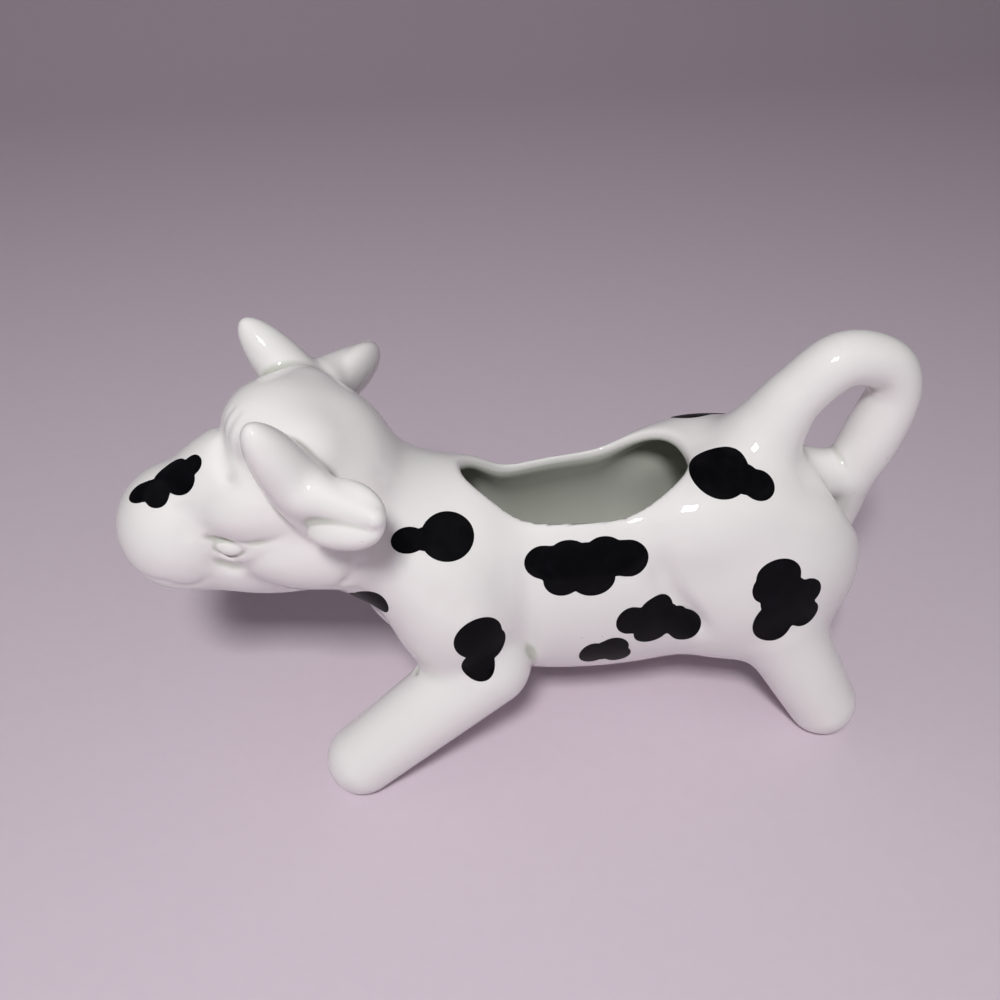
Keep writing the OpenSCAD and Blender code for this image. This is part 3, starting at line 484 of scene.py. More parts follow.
def level_surface(low, high, pitch, gap):
    """Triangles of the surface where the gap is zero, inside a box."""
    low = np.array(low, dtype=np.float32)
    count = np.ceil((np.array(high) - low) / (pitch * BLOCK)).astype(int)
    index = np.stack(np.meshgrid(*[np.arange(n) for n in count], indexing="ij"), -1).reshape(-1, 3)
    middle = (low + (index + 0.5) * pitch * BLOCK).astype(np.float32)
    rough = gap(middle)
    far = 4 * pitch
    volume = np.where(rough > 0, far, -far).astype(np.float32).reshape(*count, 1, 1, 1)
    volume = np.broadcast_to(volume, (*count, BLOCK, BLOCK, BLOCK)).copy()
    near = index[np.abs(rough) < pitch * BLOCK * 1.15 + 1.5]
    local = np.stack(np.meshgrid(*[np.arange(BLOCK)] * 3, indexing="ij"), -1).reshape(-1, 3)
    for start in range(0, len(near), BATCH):
        cells = near[start:start + BATCH]
        places = low + (cells[:, None] * BLOCK + local[None]).reshape(-1, 3) * np.float32(pitch)
        values = np.clip(gap(places.astype(np.float32)), -far, far)
        volume[tuple(cells.T)] = values.reshape(-1, BLOCK, BLOCK, BLOCK)
    volume = volume.transpose(0, 3, 1, 4, 2, 5).reshape(count * BLOCK)
    grid = openvdb.FloatGrid(float(far))
    grid.copyFromArray(np.ascontiguousarray(volume))
    points, quads = grid.convertToQuads(isovalue=0.0)
    points = low + points * pitch
    a, b, c, d = quads.T
    short = np.linalg.norm(points[a] - points[c], axis=1) <= np.linalg.norm(points[b] - points[d], axis=1)
    tris = np.concatenate([
        np.where(short[:, None], np.stack([a, b, c], 1), np.stack([a, b, d], 1)),
        np.where(short[:, None], np.stack([a, c, d], 1), np.stack([b, c, d], 1)),
    ])
    points = settled(points, gap)
    corners = points[tris]
    turned = np.einsum("ij,ij->i", corners[:, 0], np.cross(corners[:, 1], corners[:, 2])).sum() < 0
    return points, tris[:, ::-1] if turned else tris


def slope(p, gap, step=0.2):
    out = np.empty_like(p)
    for axis in range(3):
        shift = np.zeros(3, dtype=p.dtype)
        shift[axis] = step
        out[:, axis] = gap(p + shift) - gap(p - shift)
    return out / (2 * step)


def settled(p, gap, rounds=3):
    """Moves points onto the surface where the gap is zero."""
    p = p.astype(np.float32)
    for _ in range(rounds):
        steep = slope(p, gap)
        size = np.maximum((steep * steep).sum(axis=1), 0.2)
        move = steep * (gap(p) / size)[:, None]
        length = np.linalg.norm(move, axis=1)
        p = p - move * np.minimum(1, 0.5 / np.maximum(length, 1e-9))[:, None]
    return p


def cut_off(points, tris, side, gap):
    """Cuts a surface where side changes sign: (points, tris below zero, tris above zero)."""
    value = side(points)
    value = np.where(np.abs(value) < 1e-4, 1e-4, value)
    below = (value < 0)[tris]
    count = below.sum(axis=1)
    inside, outside = [tris[count == 3]], [tris[count == 0]]
    mixed = tris[(count > 0) & (count < 3)]
    edges, born, new_points = {}, len(points), []

    def crossing(i, j):
        nonlocal born
        key = (min(i, j), max(i, j))
        if key not in edges:
            t = value[key[0]] / (value[key[0]] - value[key[1]])
            new_points.append(points[key[0]] + (points[key[1]] - points[key[0]]) * t)
            edges[key] = born
            born += 1
        return edges[key]

    one, two = [], []
    for tri in mixed.tolist():
        low = [value[v] < 0 for v in tri]
        lone = low.index(True) if sum(low) == 1 else low.index(False)
        a, b, c = tri[lone], tri[(lone + 1) % 3], tri[(lone + 2) % 3]
        ab, ac = crossing(a, b), crossing(a, c)
        single, double = (one, two) if low[lone] else (two, one)
        single.append((a, ab, ac))
        double += [(ab, b, c), (ab, c, ac)]
    if new_points:
        points = np.concatenate([points, settled(np.array(new_points), gap)])
    inside.append(np.array(one, dtype=int).reshape(-1, 3))
    outside.append(np.array(two, dtype=int).reshape(-1, 3))
    return points, np.concatenate(inside), np.concatenate(outside)


def border_loops(tris):
    """Closed runs of border edges, each in the order that a cap needs."""
    edges = np.concatenate([tris[:, [0, 1]], tris[:, [1, 2]], tris[:, [2, 0]]])
    known = set(map(tuple, edges.tolist()))
    following = {b: a for a, b in known if (b, a) not in known}
    loops = []
    while following:
        start, step = following.popitem()
        loop = [start]
        while step != start:
            loop.append(step)
            step = following.pop(step)
        loops.append(loop)
    return loops


# Two border loops whose middles lie this near belong to one joint, if the outer is as wide as the neck
SAME_JOINT = 6
NECK_ACROSS = 24


def joint_caps(points, tris):
    """Closes the joints of a cut piece: a fan over a limb, a ring where the cast is hollow."""
    loops = border_loops(tris)
    loops.sort(key=len, reverse=True)
    caps, hubs = [], []
    groups = []
    for loop in loops:
        middle = points[loop].mean(axis=0)
        home = next((g for g in groups if len(g) == 2 and np.linalg.norm(g[0] - middle) < SAME_JOINT), None)
        if home is not None and np.ptp(points[home[1]], axis=0).max() > NECK_ACROSS:
            home.append(loop)
        else:
            groups.append([middle, loop])
    for group in groups:
        if len(group) == 2:
            hub = len(points) + len(hubs)
            hubs.append(group[0])
            loop = group[1]
            caps += [(a, b, hub) for a, b in zip(loop, loop[1:] + loop[:1])]
        else:
            caps += ring_cap(points, group[1], group[2])
    if hubs:
        points = np.concatenate([points, np.array(hubs, dtype=points.dtype)])
    return points, np.array(caps, dtype=int).reshape(-1, 3)


def ring_cap(points, outer, inner):
    """Triangles between two loops round the same middle."""
    middle = points[outer].mean(axis=0)
    _, _, plane = np.linalg.svd(points[outer] - middle, full_matrices=False)

    def turn(loop):
        flat = (points[loop] - middle) @ plane[:2].T
        return np.unwrap(np.arctan2(flat[:, 1], flat[:, 0]))

    a, b = turn(outer), turn(inner)
    way = 1 if a[-1] > a[0] else -1
    if (b[-1] > b[0]) != (a[-1] > a[0]):
        inner = inner[::-1]
        b = turn(inner)
    start = int(np.argmin(np.abs((b - a[0] + math.pi) % (2 * math.pi) - math.pi)))
    inner = inner[start:] + inner[:start]
    a = (turn(outer) - turn(outer)[0]) * way
    b = (turn(inner) - turn(inner)[0]) * way
    outer, inner = outer + outer[:1], inner + inner[:1]
    a, b = np.append(a, 2 * math.pi), np.append(b, 2 * math.pi)
    i = j = 0
    out = []
    while i < len(outer) - 1 or j < len(inner) - 1:
        if j == len(inner) - 1 or (i < len(outer) - 1 and a[i + 1] <= b[j + 1]):
            out.append((outer[i], outer[i + 1], inner[j]))
            i += 1
        else:
            out.append((outer[i], inner[j + 1], inner[j]))
            j += 1
    return out


# The skins that all clay pieces are cut from
skins = {}


def neck_side(p):
    lean = math.radians(NECK_LEAN)
    return ((p - NECK_JOINT) @ np.array([math.cos(lean), 0, -math.sin(lean)])).astype(p.dtype)


def limb_side(form, side, neighbour=None):
    """Below zero on the part of the skin that belongs to a limb of one side (0 takes both)."""
    def owner(p):
        others = casting(p)
        if neighbour:
            others = np.minimum(others, neighbour(p, side))
        gap = form(p) - others
        return np.where(p[:, 1] * side < 0, 5.0, gap).astype(p.dtype) if side else gap
    return owner


def skin(region):
    """The glazed skin of the head or the trunk side of the neck joint, made once."""
    if region not in skins:
        sizes = bpy.context.scene.creamer_sizes

        def gap(p):
            return glazed_gap(p, sizes)

        if region == "head":
            points, tris = level_surface((-91, -38, 42), (-14, 38, 106), HEAD_PITCH, gap)
        else:
            points, tris = level_surface((-56, -34, -3), (92, 34, 101), TRUNK_PITCH, gap)
        points, front, back = cut_off(points, tris, neck_side, gap)
        tris = front if region == "head" else back
        skins[region] = {"points": points, "tris": tris, "gap": gap}
    return skins[region]


def take(region, owner=None):
    """Takes the part of a skin that owner claims, or all that is left of it."""
    source = skin(region)
    if owner is None:
        return source["points"], source["tris"], source["gap"]
    points, claimed, rest = cut_off(source["points"], source["tris"], owner, source["gap"])
    source["points"], source["tris"] = points, rest
    return points, claimed, source["gap"]


# How strongly the inside of the jug takes the greyer pooled tone, on the scale of the creases: partly glaze
# lying thick, partly painted shade in the hollow
INSIDE_GLAZE_AND_SHADE = 0.9


def crease_glaze_and_shade(p, gap, step=1.6):
    """How hollow the surface is: 1 in a tight crease, where glaze pools and shade is painted into its
    colour, 0 on an edge, 0.5 when flat.
    """
    bend = np.zeros(len(p), dtype=np.float32)
    for axis in range(3):
        shift = np.zeros(3, dtype=p.dtype)
        shift[axis] = step
        bend += gap(p + shift) + gap(p - shift) - 2 * gap(p)
    return np.clip(0.5 - bend / (step * step) * 1.1, 0, 1)


def packed(points, tris):
    used, index = np.unique(tris, return_inverse=True)
    return points[used], index.reshape(-1, 3)


def new_mesh(name, points, tris):
    mesh = bpy.data.meshes.new(name)
    mesh.vertices.add(len(points))
    mesh.vertices.foreach_set("co", (points * MM).astype(np.float32).ravel())
    mesh.loops.add(3 * len(tris))
    mesh.loops.foreach_set("vertex_index", tris.astype(np.int32).ravel())
    mesh.polygons.add(len(tris))
    mesh.polygons.foreach_set("loop_start", np.arange(0, 3 * len(tris), 3, dtype=np.int32))
    mesh.update(calc_edges=True)
    mesh.validate()
    return mesh


def clay_piece(name, points, tris, gap, node):
    """Finishes a piece cut from the skin: closed joints, smooth glaze, and a greyer tone in its creases that
    is partly pooled glaze and partly painted shade.
    """
    points, tris = packed(points, tris)
    skin_count = len(tris)
    points, caps = joint_caps(points, tris)
    steep = slope(points, gap, 0.15)
    steep /= np.maximum(np.linalg.norm(steep, axis=1), 1e-6)[:, None]
    # Painted shade: tight creases, and places over 1 mm inside the cast such as the inside of the jug, get
    # the greyer pooled tone, partly thick glaze and partly painted shade
    inside = np.clip(-casting(points) - 1.0, 0, 1)
    glaze_and_shade_share = np.maximum(crease_glaze_and_shade(points, gap), INSIDE_GLAZE_AND_SHADE * inside)
    tris = np.concatenate([tris, caps]) if len(caps) else tris
    mesh = new_mesh(name, points, tris)
    normals = steep[tris].reshape(-1, 3)
    if len(caps):
        corner = points[caps]
        flat = np.cross(corner[:, 1] - corner[:, 0], corner[:, 2] - corner[:, 0])
        flat /= np.maximum(np.linalg.norm(flat, axis=1), 1e-9)[:, None]
        normals[3 * skin_count:] = np.repeat(flat, 3, axis=0)
    mesh.polygons.foreach_set("use_smooth", np.ones(len(tris), dtype=bool))
    if len(mesh.loops) == len(normals):
        mesh.normals_split_custom_set(normals)
    glaze = mesh.attributes.new("thick_glaze_and_shade", "FLOAT", "POINT")
    glaze.data.foreach_set("value", glaze_and_shade_share.astype(np.float32))
    return place(name, mesh, node, "white_glaze", glazed_porcelain())


def place(name, mesh, node, slot, material):
    piece = bpy.data.objects.new(name, mesh)
    bpy.context.scene.collection.objects.link(piece)
    mesh.materials.append(material)
    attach(piece, "root")
    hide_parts(node)
    return piece


# Materials
def linear(code):
    """sRGB hex to linear red, green, blue and alpha."""
    parts = [int(code[i:i + 2], 16) / 255 for i in (1, 3, 5)]
    return tuple(v / 12.92 if v <= 0.04045 else ((v + 0.055) / 1.055) ** 2.4 for v in parts) + (1.0,)


def add(tree, kind, links=None, **settings):
    """Adds a node; settings are its properties or socket values, links are {socket: output}."""
    node = tree.nodes.new(kind)
    for key, value in settings.items():
        if hasattr(node, key):
            setattr(node, key, value)
        else:
            node.inputs[key.replace("_", " ")].default_value = value
    for key, output in (links or {}).items():
        tree.links.new(output, node.inputs[key])
    return node


def new_material(name):
    material = bpy.data.materials.new(name)
    material.use_nodes = True
    tree = material.node_tree
    tree.nodes.clear()
    out = add(tree, "ShaderNodeOutputMaterial")
    return material, tree, out


def per_metre(size_mm):
    return 1 / (size_mm * MM)


def glazed_porcelain():
    """White porcelain, slip cast and dipped in a clear glaze.

    The glaze gives a hard wet shine, a slightly wavy surface, a cool greyer tone in the creases and inside
    the jug, which is partly glaze pooled thick and partly painted shade, and now and then a pinhole or an
    iron speck."""
    name = "glazed porcelain"
    if name in bpy.data.materials:
        return bpy.data.materials[name]
    colours = bpy.context.scene.creamer_colours
    material, tree, out = new_material(name)
    where = add(tree, "ShaderNodeTexCoord").outputs["Object"]
    # Painted shade: hollow places and the inside of the jug turn to the greyer pooled colour, partly thick
    # glaze and partly painted shade
    pooled_and_shade = add(tree, "ShaderNodeAttribute", attribute_name="thick_glaze_and_shade").outputs["Fac"]
    deep = add(tree, "ShaderNodeMapRange", {"Value": pooled_and_shade}, interpolation_type="SMOOTHSTEP",
               From_Min=0.52, From_Max=1.0)
    tone = add(tree, "ShaderNodeMix", {"Factor": deep.outputs["Result"]}, data_type="RGBA",
               A=linear(colours.glaze), B=linear(colours.pooled_and_shade))
    cloud = add(tree, "ShaderNodeTexNoise", {"Vector": where}, Scale=per_metre(28), Detail=2.0)
    warmth = add(tree, "ShaderNodeMapRange", {"Value": cloud.outputs["Fac"]},
                 From_Min=0.35, From_Max=0.7, To_Max=0.35)
    tinted = add(tree, "ShaderNodeMix", {"Factor": warmth.outputs["Result"], "A": tone.outputs["Result"]},
                 data_type="RGBA", B=linear(colours.thin_glaze))
    grit = add(tree, "ShaderNodeTexVoronoi", {"Vector": where}, Scale=per_metre(9))
    speck = add(tree, "ShaderNodeMapRange", {"Value": grit.outputs["Distance"]},
                From_Min=0.012, From_Max=0.024, To_Min=0.55, To_Max=0.0)
    final = add(tree, "ShaderNodeMix", {"Factor": speck.outputs["Result"], "A": tinted.outputs["Result"]},
                data_type="RGBA", B=linear(colours.speck))
    wave = add(tree, "ShaderNodeTexNoise", {"Vector": where}, Scale=per_metre(7), Detail=1.5)
    ripple = add(tree, "ShaderNodeBump", {"Height": wave.outputs["Fac"]}, Strength=0.10, Distance=0.0006)
    orange = add(tree, "ShaderNodeTexNoise", {"Vector": where}, Scale=per_metre(1.1), Detail=1.0)
    peel = add(tree, "ShaderNodeBump", {"Height": orange.outputs["Fac"], "Normal": ripple.outputs["Normal"]},
               Strength=0.06, Distance=0.00008)
    shader = add(tree, "ShaderNodeBsdfPrincipled",
                 {"Base Color": final.outputs["Result"], "Normal": peel.outputs["Normal"],
                  "Coat Normal": peel.outputs["Normal"]},
                 Roughness=0.45, IOR=1.5, Specular_IOR_Level=0.1, Coat_Weight=1.0, Coat_Roughness=0.03,
                 Coat_IOR=1.5)
    tree.links.new(shader.outputs["BSDF"], out.inputs["Surface"])
    return material


def fired_transfer():
    """Black ceramic transfer, fired onto the glaze.

    Near black with a hard shine, and a faint unevenness where the printed colour thins."""
    name = "fired black transfer"
    if name in bpy.data.materials:
        return bpy.data.materials[name]
    colours = bpy.context.scene.creamer_colours
    material, tree, out = new_material(name)
    where = add(tree, "ShaderNodeTexCoord").outputs["Object"]
    cloud = add(tree, "ShaderNodeTexNoise", {"Vector": where}, Scale=per_metre(3), Detail=3.0)
    thin = add(tree, "ShaderNodeMapRange", {"Value": cloud.outputs["Fac"]}, From_Min=0.45, From_Max=0.75)
    ink = add(tree, "ShaderNodeMix", {"Factor": thin.outputs["Result"]}, data_type="RGBA",
              A=linear(colours.transfer), B=linear(colours.thin_transfer))
    shader = add(tree, "ShaderNodeBsdfPrincipled", {"Base Color": ink.outputs["Result"]},
                 Roughness=0.45, IOR=1.5, Specular_IOR_Level=0.04, Coat_Weight=0.12, Coat_Roughness=0.05,
                 Coat_IOR=1.5)
    tree.links.new(shader.outputs["BSDF"], out.inputs["Surface"])
    return material


def matt_paper():
    """Pale matt background paper: even, without shine, with a very faint fibre."""
    colours = bpy.context.scene.creamer_colours
    material, tree, out = new_material("matt paper")
    where = add(tree, "ShaderNodeTexCoord").outputs["Object"]
    fibre = add(tree, "ShaderNodeTexNoise", {"Vector": where}, Scale=per_metre(4), Detail=4.0)
    tone = add(tree, "ShaderNodeMix", {"Factor": fibre.outputs["Fac"]}, data_type="RGBA",
               A=linear(colours.paper), B=linear(colours.paper_fibre))
    shader = add(tree, "ShaderNodeBsdfPrincipled", {"Base Color": tone.outputs["Result"]}, Roughness=0.9)
    tree.links.new(shader.outputs["BSDF"], out.inputs["Surface"])
    return material


# Transfers
def spot_radius(lobes, turn):
    """Farthest edge of the lobes in each direction from the aim point."""
    best = np.full(len(turn), 0.3)
    for x, y, rx, ry in lobes:
        a = (np.cos(turn) / rx) ** 2 + (np.sin(turn) / ry) ** 2
        b = x * np.cos(turn) / rx ** 2 + y * np.sin(turn) / ry ** 2
        c = (x / rx) ** 2 + (y / ry) ** 2 - 1
        root = b * b - a * c
        best = np.maximum(best, np.where(root > 0, (b + np.sqrt(np.maximum(root, 0))) / a, 0))
    return best


def outer_gap(p):
    return outside_skin(p, casting(p))


def on_skin(p, way, gap, start, stop):
    """The place along a direction where the skin is met, for many points at once."""
    low, high = np.full(len(p), float(start)), np.full(len(p), float(stop))
    for _ in range(22):
        middle = (low + high) / 2
        inside = gap(p + way * middle[:, None]) < 0
        low, high = np.where(inside, middle, low), np.where(inside, high, middle)
    return p + way * ((low + high) / 2)[:, None]


SPOT_SIDES = 144
SPOT_RINGS = 14
# How deep the back of a transfer lies in the glaze, its height at the edge as a share of the whole,
# and how far its skin is looked for from the trunk's middle and from the flat outline
SPOT_SINK = 0.08
SPOT_EDGE = 0.35
SPOT_AIM_REACH = 45
SPOT_LAY_REACH = 12


def transfer(name, sizes):
    """A thin sheet laid on the skin: its outline is drawn flat at the aim point and dropped on."""
    (x, z, turn), lobes = SPOTS[name]
    turn = math.radians(turn)
    aim = np.array([[x, 0.0, z]])
    way = np.array([0.0, -math.cos(turn), math.sin(turn)])
    middle = on_skin(aim, way, casting, 0, SPOT_AIM_REACH)
    normal = slope(middle, casting)[0]
    normal /= np.linalg.norm(normal)
    across = np.array([1.0, 0, 0]) - normal * normal[0]
    across /= np.linalg.norm(across)
    up = np.cross(normal, across)
    angle = np.arange(SPOT_SIDES) * 2 * math.pi / SPOT_SIDES
    edge = spot_radius(lobes, angle)
    soft = (np.roll(edge, 1) + 2 * edge + np.roll(edge, -1)) / 4
    share = np.arange(SPOT_RINGS + 1) / SPOT_RINGS
    flat = (share[1:, None, None] * soft[None, :, None]
            * (np.cos(angle)[:, None] * across + np.sin(angle)[:, None] * up)[None]).reshape(-1, 3)
    flat = np.concatenate([flat, np.zeros((1, 3))]) + middle
    lying = on_skin(flat, normal, outer_gap, -SPOT_LAY_REACH, SPOT_LAY_REACH)
    facing = slope(lying, outer_gap)
    facing /= np.linalg.norm(facing, axis=1)[:, None]
    rim = SPOT_RINGS * SPOT_SIDES
    ring = np.append(np.repeat(share[1:], SPOT_SIDES), 0)
    rounded = np.clip((1 - ring) * SPOT_RINGS, 0, 1) ** 0.5
    lift = sizes.transfer_thick / MM
    top = lying + facing * (lift * (SPOT_EDGE + (1 - SPOT_EDGE) * rounded))[:, None]
    back = lying - facing * SPOT_SINK
    points = np.concatenate([top, back])
    tris = []
    hub = rim
    for j in range(SPOT_SIDES):
        k = (j + 1) % SPOT_SIDES
        tris.append((hub, j, k))
        for i in range(SPOT_RINGS - 1):
            a, b = i * SPOT_SIDES, (i + 1) * SPOT_SIDES
            tris += [(a + j, b + j, b + k), (a + j, b + k, a + k)]
    top_tris = np.array(tris)
    under = top_tris[:, ::-1] + rim + 1
    last = (SPOT_RINGS - 1) * SPOT_SIDES
    side = []
    for j in range(SPOT_SIDES):
        k = (j + 1) % SPOT_SIDES
        a, b, c, d = last + j, last + k, last + k + rim + 1, last + j + rim + 1
        side += [(a, d, c), (a, c, b)]
    tris = np.concatenate([top_tris, under, np.array(side)])
    mesh = new_mesh(name, points, tris)
    mesh.polygons.foreach_set("use_smooth", np.ones(len(mesh.polygons), dtype=bool))
    normals = np.concatenate([facing, -facing])[tris].reshape(-1, 3)
    outward = np.concatenate([(flat - middle), (flat - middle)])
    outward /= np.maximum(np.linalg.norm(outward, axis=1), 1e-6)[:, None]
    normals[3 * (len(tris) - len(side)):] = outward[np.array(side)].reshape(-1, 3)
    mesh.normals_split_custom_set(normals)
    return place(name + "_print", mesh, name, "black_transfer", fired_transfer())


# Settings
class CreamerSizes(bpy.types.PropertyGroup):
    wall: FloatProperty(name="Wall", description="Thickness of the cast wall", default=0.003, min=0.002,
                        max=0.004, unit="LENGTH", precision=4)
    lip_round: FloatProperty(name="Lip", description="Rounding of the lip around the openings",
                             default=0.0016, min=0.0008, max=0.002, unit="LENGTH", precision=4)
    opening_length: FloatProperty(name="Opening length", description="Length of the opening in the back",
                                  default=0.0506, min=0.04, max=0.054, unit="LENGTH", precision=4)
    opening_width: FloatProperty(name="Opening width", description="Width of the opening in the back",
                                 default=0.0249, min=0.018, max=0.027, unit="LENGTH", precision=4)
    mouth_width: FloatProperty(name="Mouth width", description="Width of the pouring mouth",
                               default=0.012, min=0.009, max=0.013, unit="LENGTH", precision=4)
    mouth_height: FloatProperty(name="Mouth height", description="Height of the pouring mouth",
                                default=0.009, min=0.006, max=0.01, unit="LENGTH", precision=4)
    transfer_thick: FloatProperty(name="Transfer", description="How far a transfer stands on the glaze",
                                  default=0.00014, min=0.0001, max=0.0003, unit="LENGTH", precision=5)


class CreamerColours(bpy.types.PropertyGroup):
    glaze: StringProperty(name="Glaze", description="White glaze, sRGB hex", default="#eeecea")
    thin_glaze: StringProperty(name="Thin glaze", description="Glaze where it is thin, sRGB hex",
                               default="#efe9e8")
    # Pooled colour: partly glaze lying thick, partly painted shade in the creases and inside the jug
    pooled_and_shade: StringProperty(name="Pooled glaze", description="Glaze in creases and inside the jug, sRGB hex",
                           default="#c2c6ba")
    speck: StringProperty(name="Speck", description="Iron specks in the glaze, sRGB hex", default="#7d7468")
    transfer: StringProperty(name="Transfer", description="Black of the transfers, sRGB hex",
                             default="#060608")
    thin_transfer: StringProperty(name="Thin transfer", description="Transfer where it is thin, sRGB hex",
                                  default="#0c0c10")
    paper: StringProperty(name="Paper", description="Background paper, sRGB hex", default="#ddcfda")
    paper_fibre: StringProperty(name="Fibre", description="Fibre in the paper, sRGB hex", default="#d9cad6")


# Operators
class CREAMER_OT_legs(bpy.types.Operator):
    """Lute the four legs of the walking cow to the trunk"""
    bl_idname = "creamer.legs"
    bl_label = "Legs"

    def execute(self, context):
        for name in LEGS:
            side = LEFT if name.endswith("left") else RIGHT
            clay_piece(name + "_glazed", *take("trunk", limb_side(lambda p: leg(p, name), side)), name)
        return {"FINISHED"}


class CREAMER_OT_tail(bpy.types.Operator):
    """Curl the tail into the handle and press its end onto the rump"""
    bl_idname = "creamer.tail"
    bl_label = "Tail handle"

    def execute(self, context):
        clay_piece("tail_handle_glazed", *take("trunk", limb_side(tail, 0)), "tail_handle")
        return {"FINISHED"}


class CREAMER_OT_trunk(bpy.types.Operator):
    """Cast the hollow trunk with its filling opening"""
    bl_idname = "creamer.trunk"
    bl_label = "Trunk"

    def execute(self, context):
        clay_piece("body_glazed", *take("trunk"), "body")
        return {"FINISHED"}


class CREAMER_OT_horns(bpy.types.Operator):
    """Lute the horns to the skull"""
    bl_idname = "creamer.horns"
    bl_label = "Horns"

    def execute(self, context):
        for side, word in ((LEFT, "left"), (RIGHT, "right")):
            owner = limb_side(lambda p: horn(p, side), side, ear)
            clay_piece(f"horn_{word}_glazed", *take("head", owner), f"horn_{word}")
        return {"FINISHED"}


class CREAMER_OT_ears(bpy.types.Operator):
    """Press the cupped ears and lute them behind the horns"""
    bl_idname = "creamer.ears"
    bl_label = "Ears"

    def execute(self, context):
        for side, word in ((LEFT, "left"), (RIGHT, "right")):
            owner = limb_side(lambda p: ear(p, side), side, horn)
            clay_piece(f"ear_{word}_glazed", *take("head", owner), f"ear_{word}")
        return {"FINISHED"}


class CREAMER_OT_head(bpy.types.Operator):
    """Cast the hollow head with its face and its pouring mouth"""
    bl_idname = "creamer.head"
    bl_label = "Head"

    def execute(self, context):
        clay_piece("head_glazed", *take("head"), "head")
        return {"FINISHED"}


class CREAMER_OT_transfers(bpy.types.Operator):
    """Fire the black transfers onto the glaze"""
    bl_idname = "creamer.transfers"
    bl_label = "Transfers"

    def execute(self, context):
        for name in SPOTS:
            transfer(name, context.scene.creamer_sizes)
        return {"FINISHED"}


CAMERA_PLACE = (-0.0356, -0.1774, 0.1990)
CAMERA_PITCH = 37.1
CAMERA_TURN = -9.3
CAMERA_LENS = 36.1
CAMERA_SENSOR = 36
# Soft boxes: place, what each is aimed at, width, watts
LIGHTS = {
    "key": ((-0.12, -0.39, 0.58), (0.0, 0.0, 0.05), 0.11, 3.2),
    "fill": ((0.70, -0.55, 0.55), (0.0, 0.0, 0.05), 0.70, 0.35),
    "top": ((-0.55, 0.10, 0.95), (0.0, 0.0, 0.03), 0.90, 0.7),
}
ROOM_COLOUR = "#e6e2ea"
ROOM_STRENGTH = 0.13
# Paper: half its width, its front edge, where it starts to curve up, the curve's radius and the top
PAPER_HALF_WIDTH = 1.8
PAPER_FRONT = -1.2
PAPER_BEND = 0.55
PAPER_RADIUS = 0.5
PAPER_TOP = 1.6


class CREAMER_OT_stage(bpy.types.Operator):
    """Set the paper, the soft lights and the camera"""
    bl_idname = "creamer.stage"
    bl_label = "Stage"

    def execute(self, context):
        scene = context.scene
        paper_sweep()
        for name, settings in LIGHTS.items():
            soft_box(name, *settings)
        world = scene.world or bpy.data.worlds.new("room")
        scene.world = world
        world.use_nodes = True
        back = world.node_tree.nodes["Background"]
        back.inputs["Color"].default_value = linear(ROOM_COLOUR)
        back.inputs["Strength"].default_value = ROOM_STRENGTH
        camera = bpy.data.objects.new("camera", bpy.data.cameras.new("camera"))
        camera.data.lens = CAMERA_LENS
        camera.data.sensor_width = CAMERA_SENSOR
        camera.data.clip_start = 0.01
        camera.location = CAMERA_PLACE
        camera.rotation_euler = (math.radians(90 - CAMERA_PITCH), 0, math.radians(CAMERA_TURN))
        scene.collection.objects.link(camera)
        scene.camera = camera
        scene.view_settings.view_transform = "Standard"
        return {"FINISHED"}


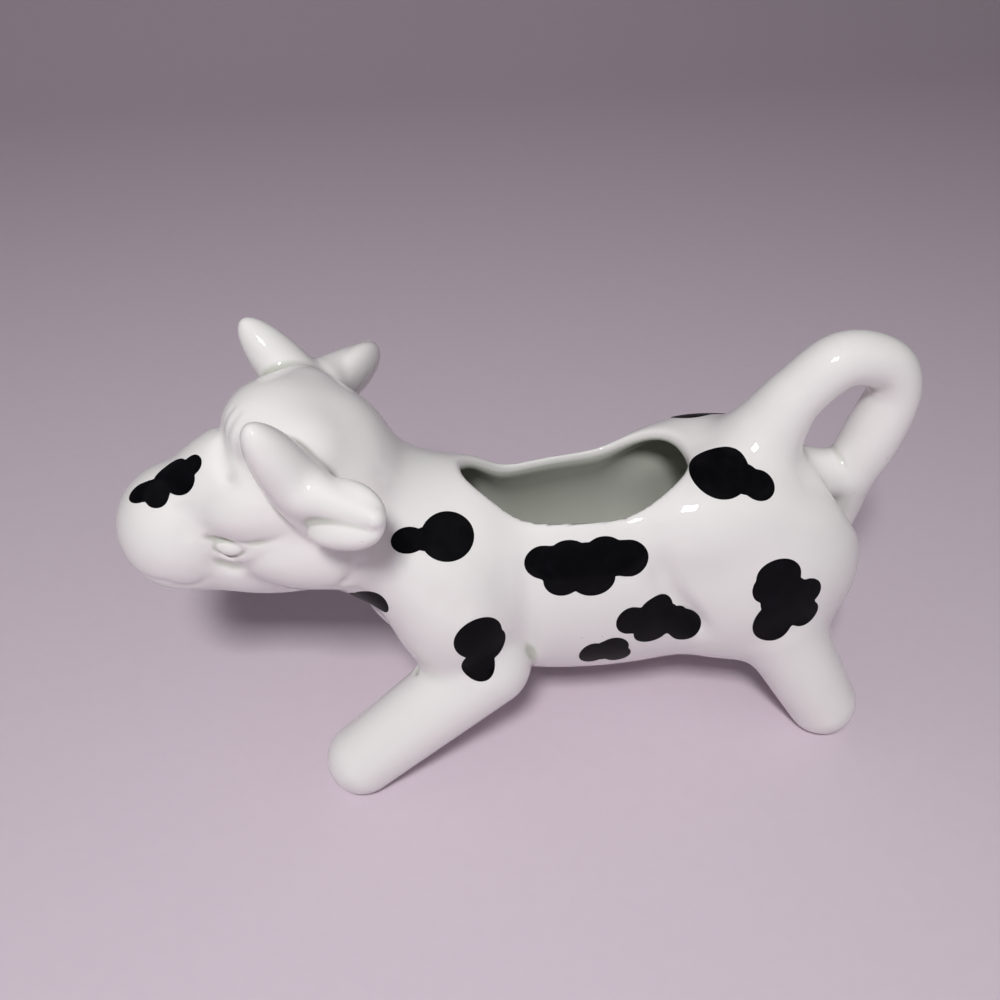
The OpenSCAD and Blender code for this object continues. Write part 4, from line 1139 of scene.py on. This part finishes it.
def paper_sweep():
    """Background paper: a floor that curves up far behind the cow."""
    profile = [(PAPER_FRONT, 0.0), (PAPER_BEND, 0.0)]
    for i in range(1, 19):
        a = math.radians(5 * i)
        profile.append((PAPER_BEND + PAPER_RADIUS * math.sin(a), PAPER_RADIUS * (1 - math.cos(a))))
    profile.append((PAPER_BEND + PAPER_RADIUS, PAPER_TOP))
    points = np.array([(x, y, z) for x in (-PAPER_HALF_WIDTH, PAPER_HALF_WIDTH)
                       for y, z in profile]) / MM
    n = len(profile)
    tris = []
    for i in range(n - 1):
        tris += [(i, n + i, n + i + 1), (i, n + i + 1, i + 1)]
    mesh = new_mesh("paper", points, np.array(tris))
    mesh.polygons.foreach_set("use_smooth", np.ones(len(mesh.polygons), dtype=bool))
    paper = bpy.data.objects.new("paper_sweep", mesh)
    bpy.context.scene.collection.objects.link(paper)
    mesh.materials.append(matt_paper())


def soft_box(name, place_at, aim, size, watts):
    light = bpy.data.lights.new(name, "AREA")
    light.shape = "SQUARE"
    light.size = size
    light.energy = watts
    lamp = bpy.data.objects.new(name, light)
    lamp.location = place_at
    lamp.rotation_euler = (Vector(aim) - Vector(place_at)).to_track_quat("-Z", "Y").to_euler()
    bpy.context.scene.collection.objects.link(lamp)


class CREAMER_PT_panel(bpy.types.Panel):
    """Sizes and colours of the creamer"""
    bl_label = "Cow creamer"
    bl_idname = "CREAMER_PT_panel"
    bl_space_type = "VIEW_3D"
    bl_region_type = "UI"
    bl_category = "Creamer"

    def draw(self, context):
        for group in (context.scene.creamer_sizes, context.scene.creamer_colours):
            box = self.layout.box()
            for key in group.__annotations__:
                box.prop(group, key)
        for step in STEPS:
            self.layout.operator(step.bl_idname)


STEPS = (
    CREAMER_OT_legs, CREAMER_OT_tail, CREAMER_OT_trunk, CREAMER_OT_horns, CREAMER_OT_ears, CREAMER_OT_head,
    CREAMER_OT_transfers, CREAMER_OT_stage,
)
CLASSES = (CreamerSizes, CreamerColours, CREAMER_PT_panel) + STEPS


def register():
    for cls in CLASSES:
        bpy.utils.register_class(cls)
    bpy.types.Scene.creamer_sizes = PointerProperty(type=CreamerSizes)
    bpy.types.Scene.creamer_colours = PointerProperty(type=CreamerColours)


def unregister():
    del bpy.types.Scene.creamer_sizes
    del bpy.types.Scene.creamer_colours
    for cls in reversed(CLASSES):
        bpy.utils.unregister_class(cls)


def main():
    register()
    bpy.ops.creamer.legs()
    bpy.ops.creamer.tail()
    bpy.ops.creamer.trunk()
    bpy.ops.creamer.horns()
    bpy.ops.creamer.ears()
    bpy.ops.creamer.head()
    bpy.ops.creamer.transfers()
    bpy.ops.creamer.stage()


if __name__ == "__main__":
    main()
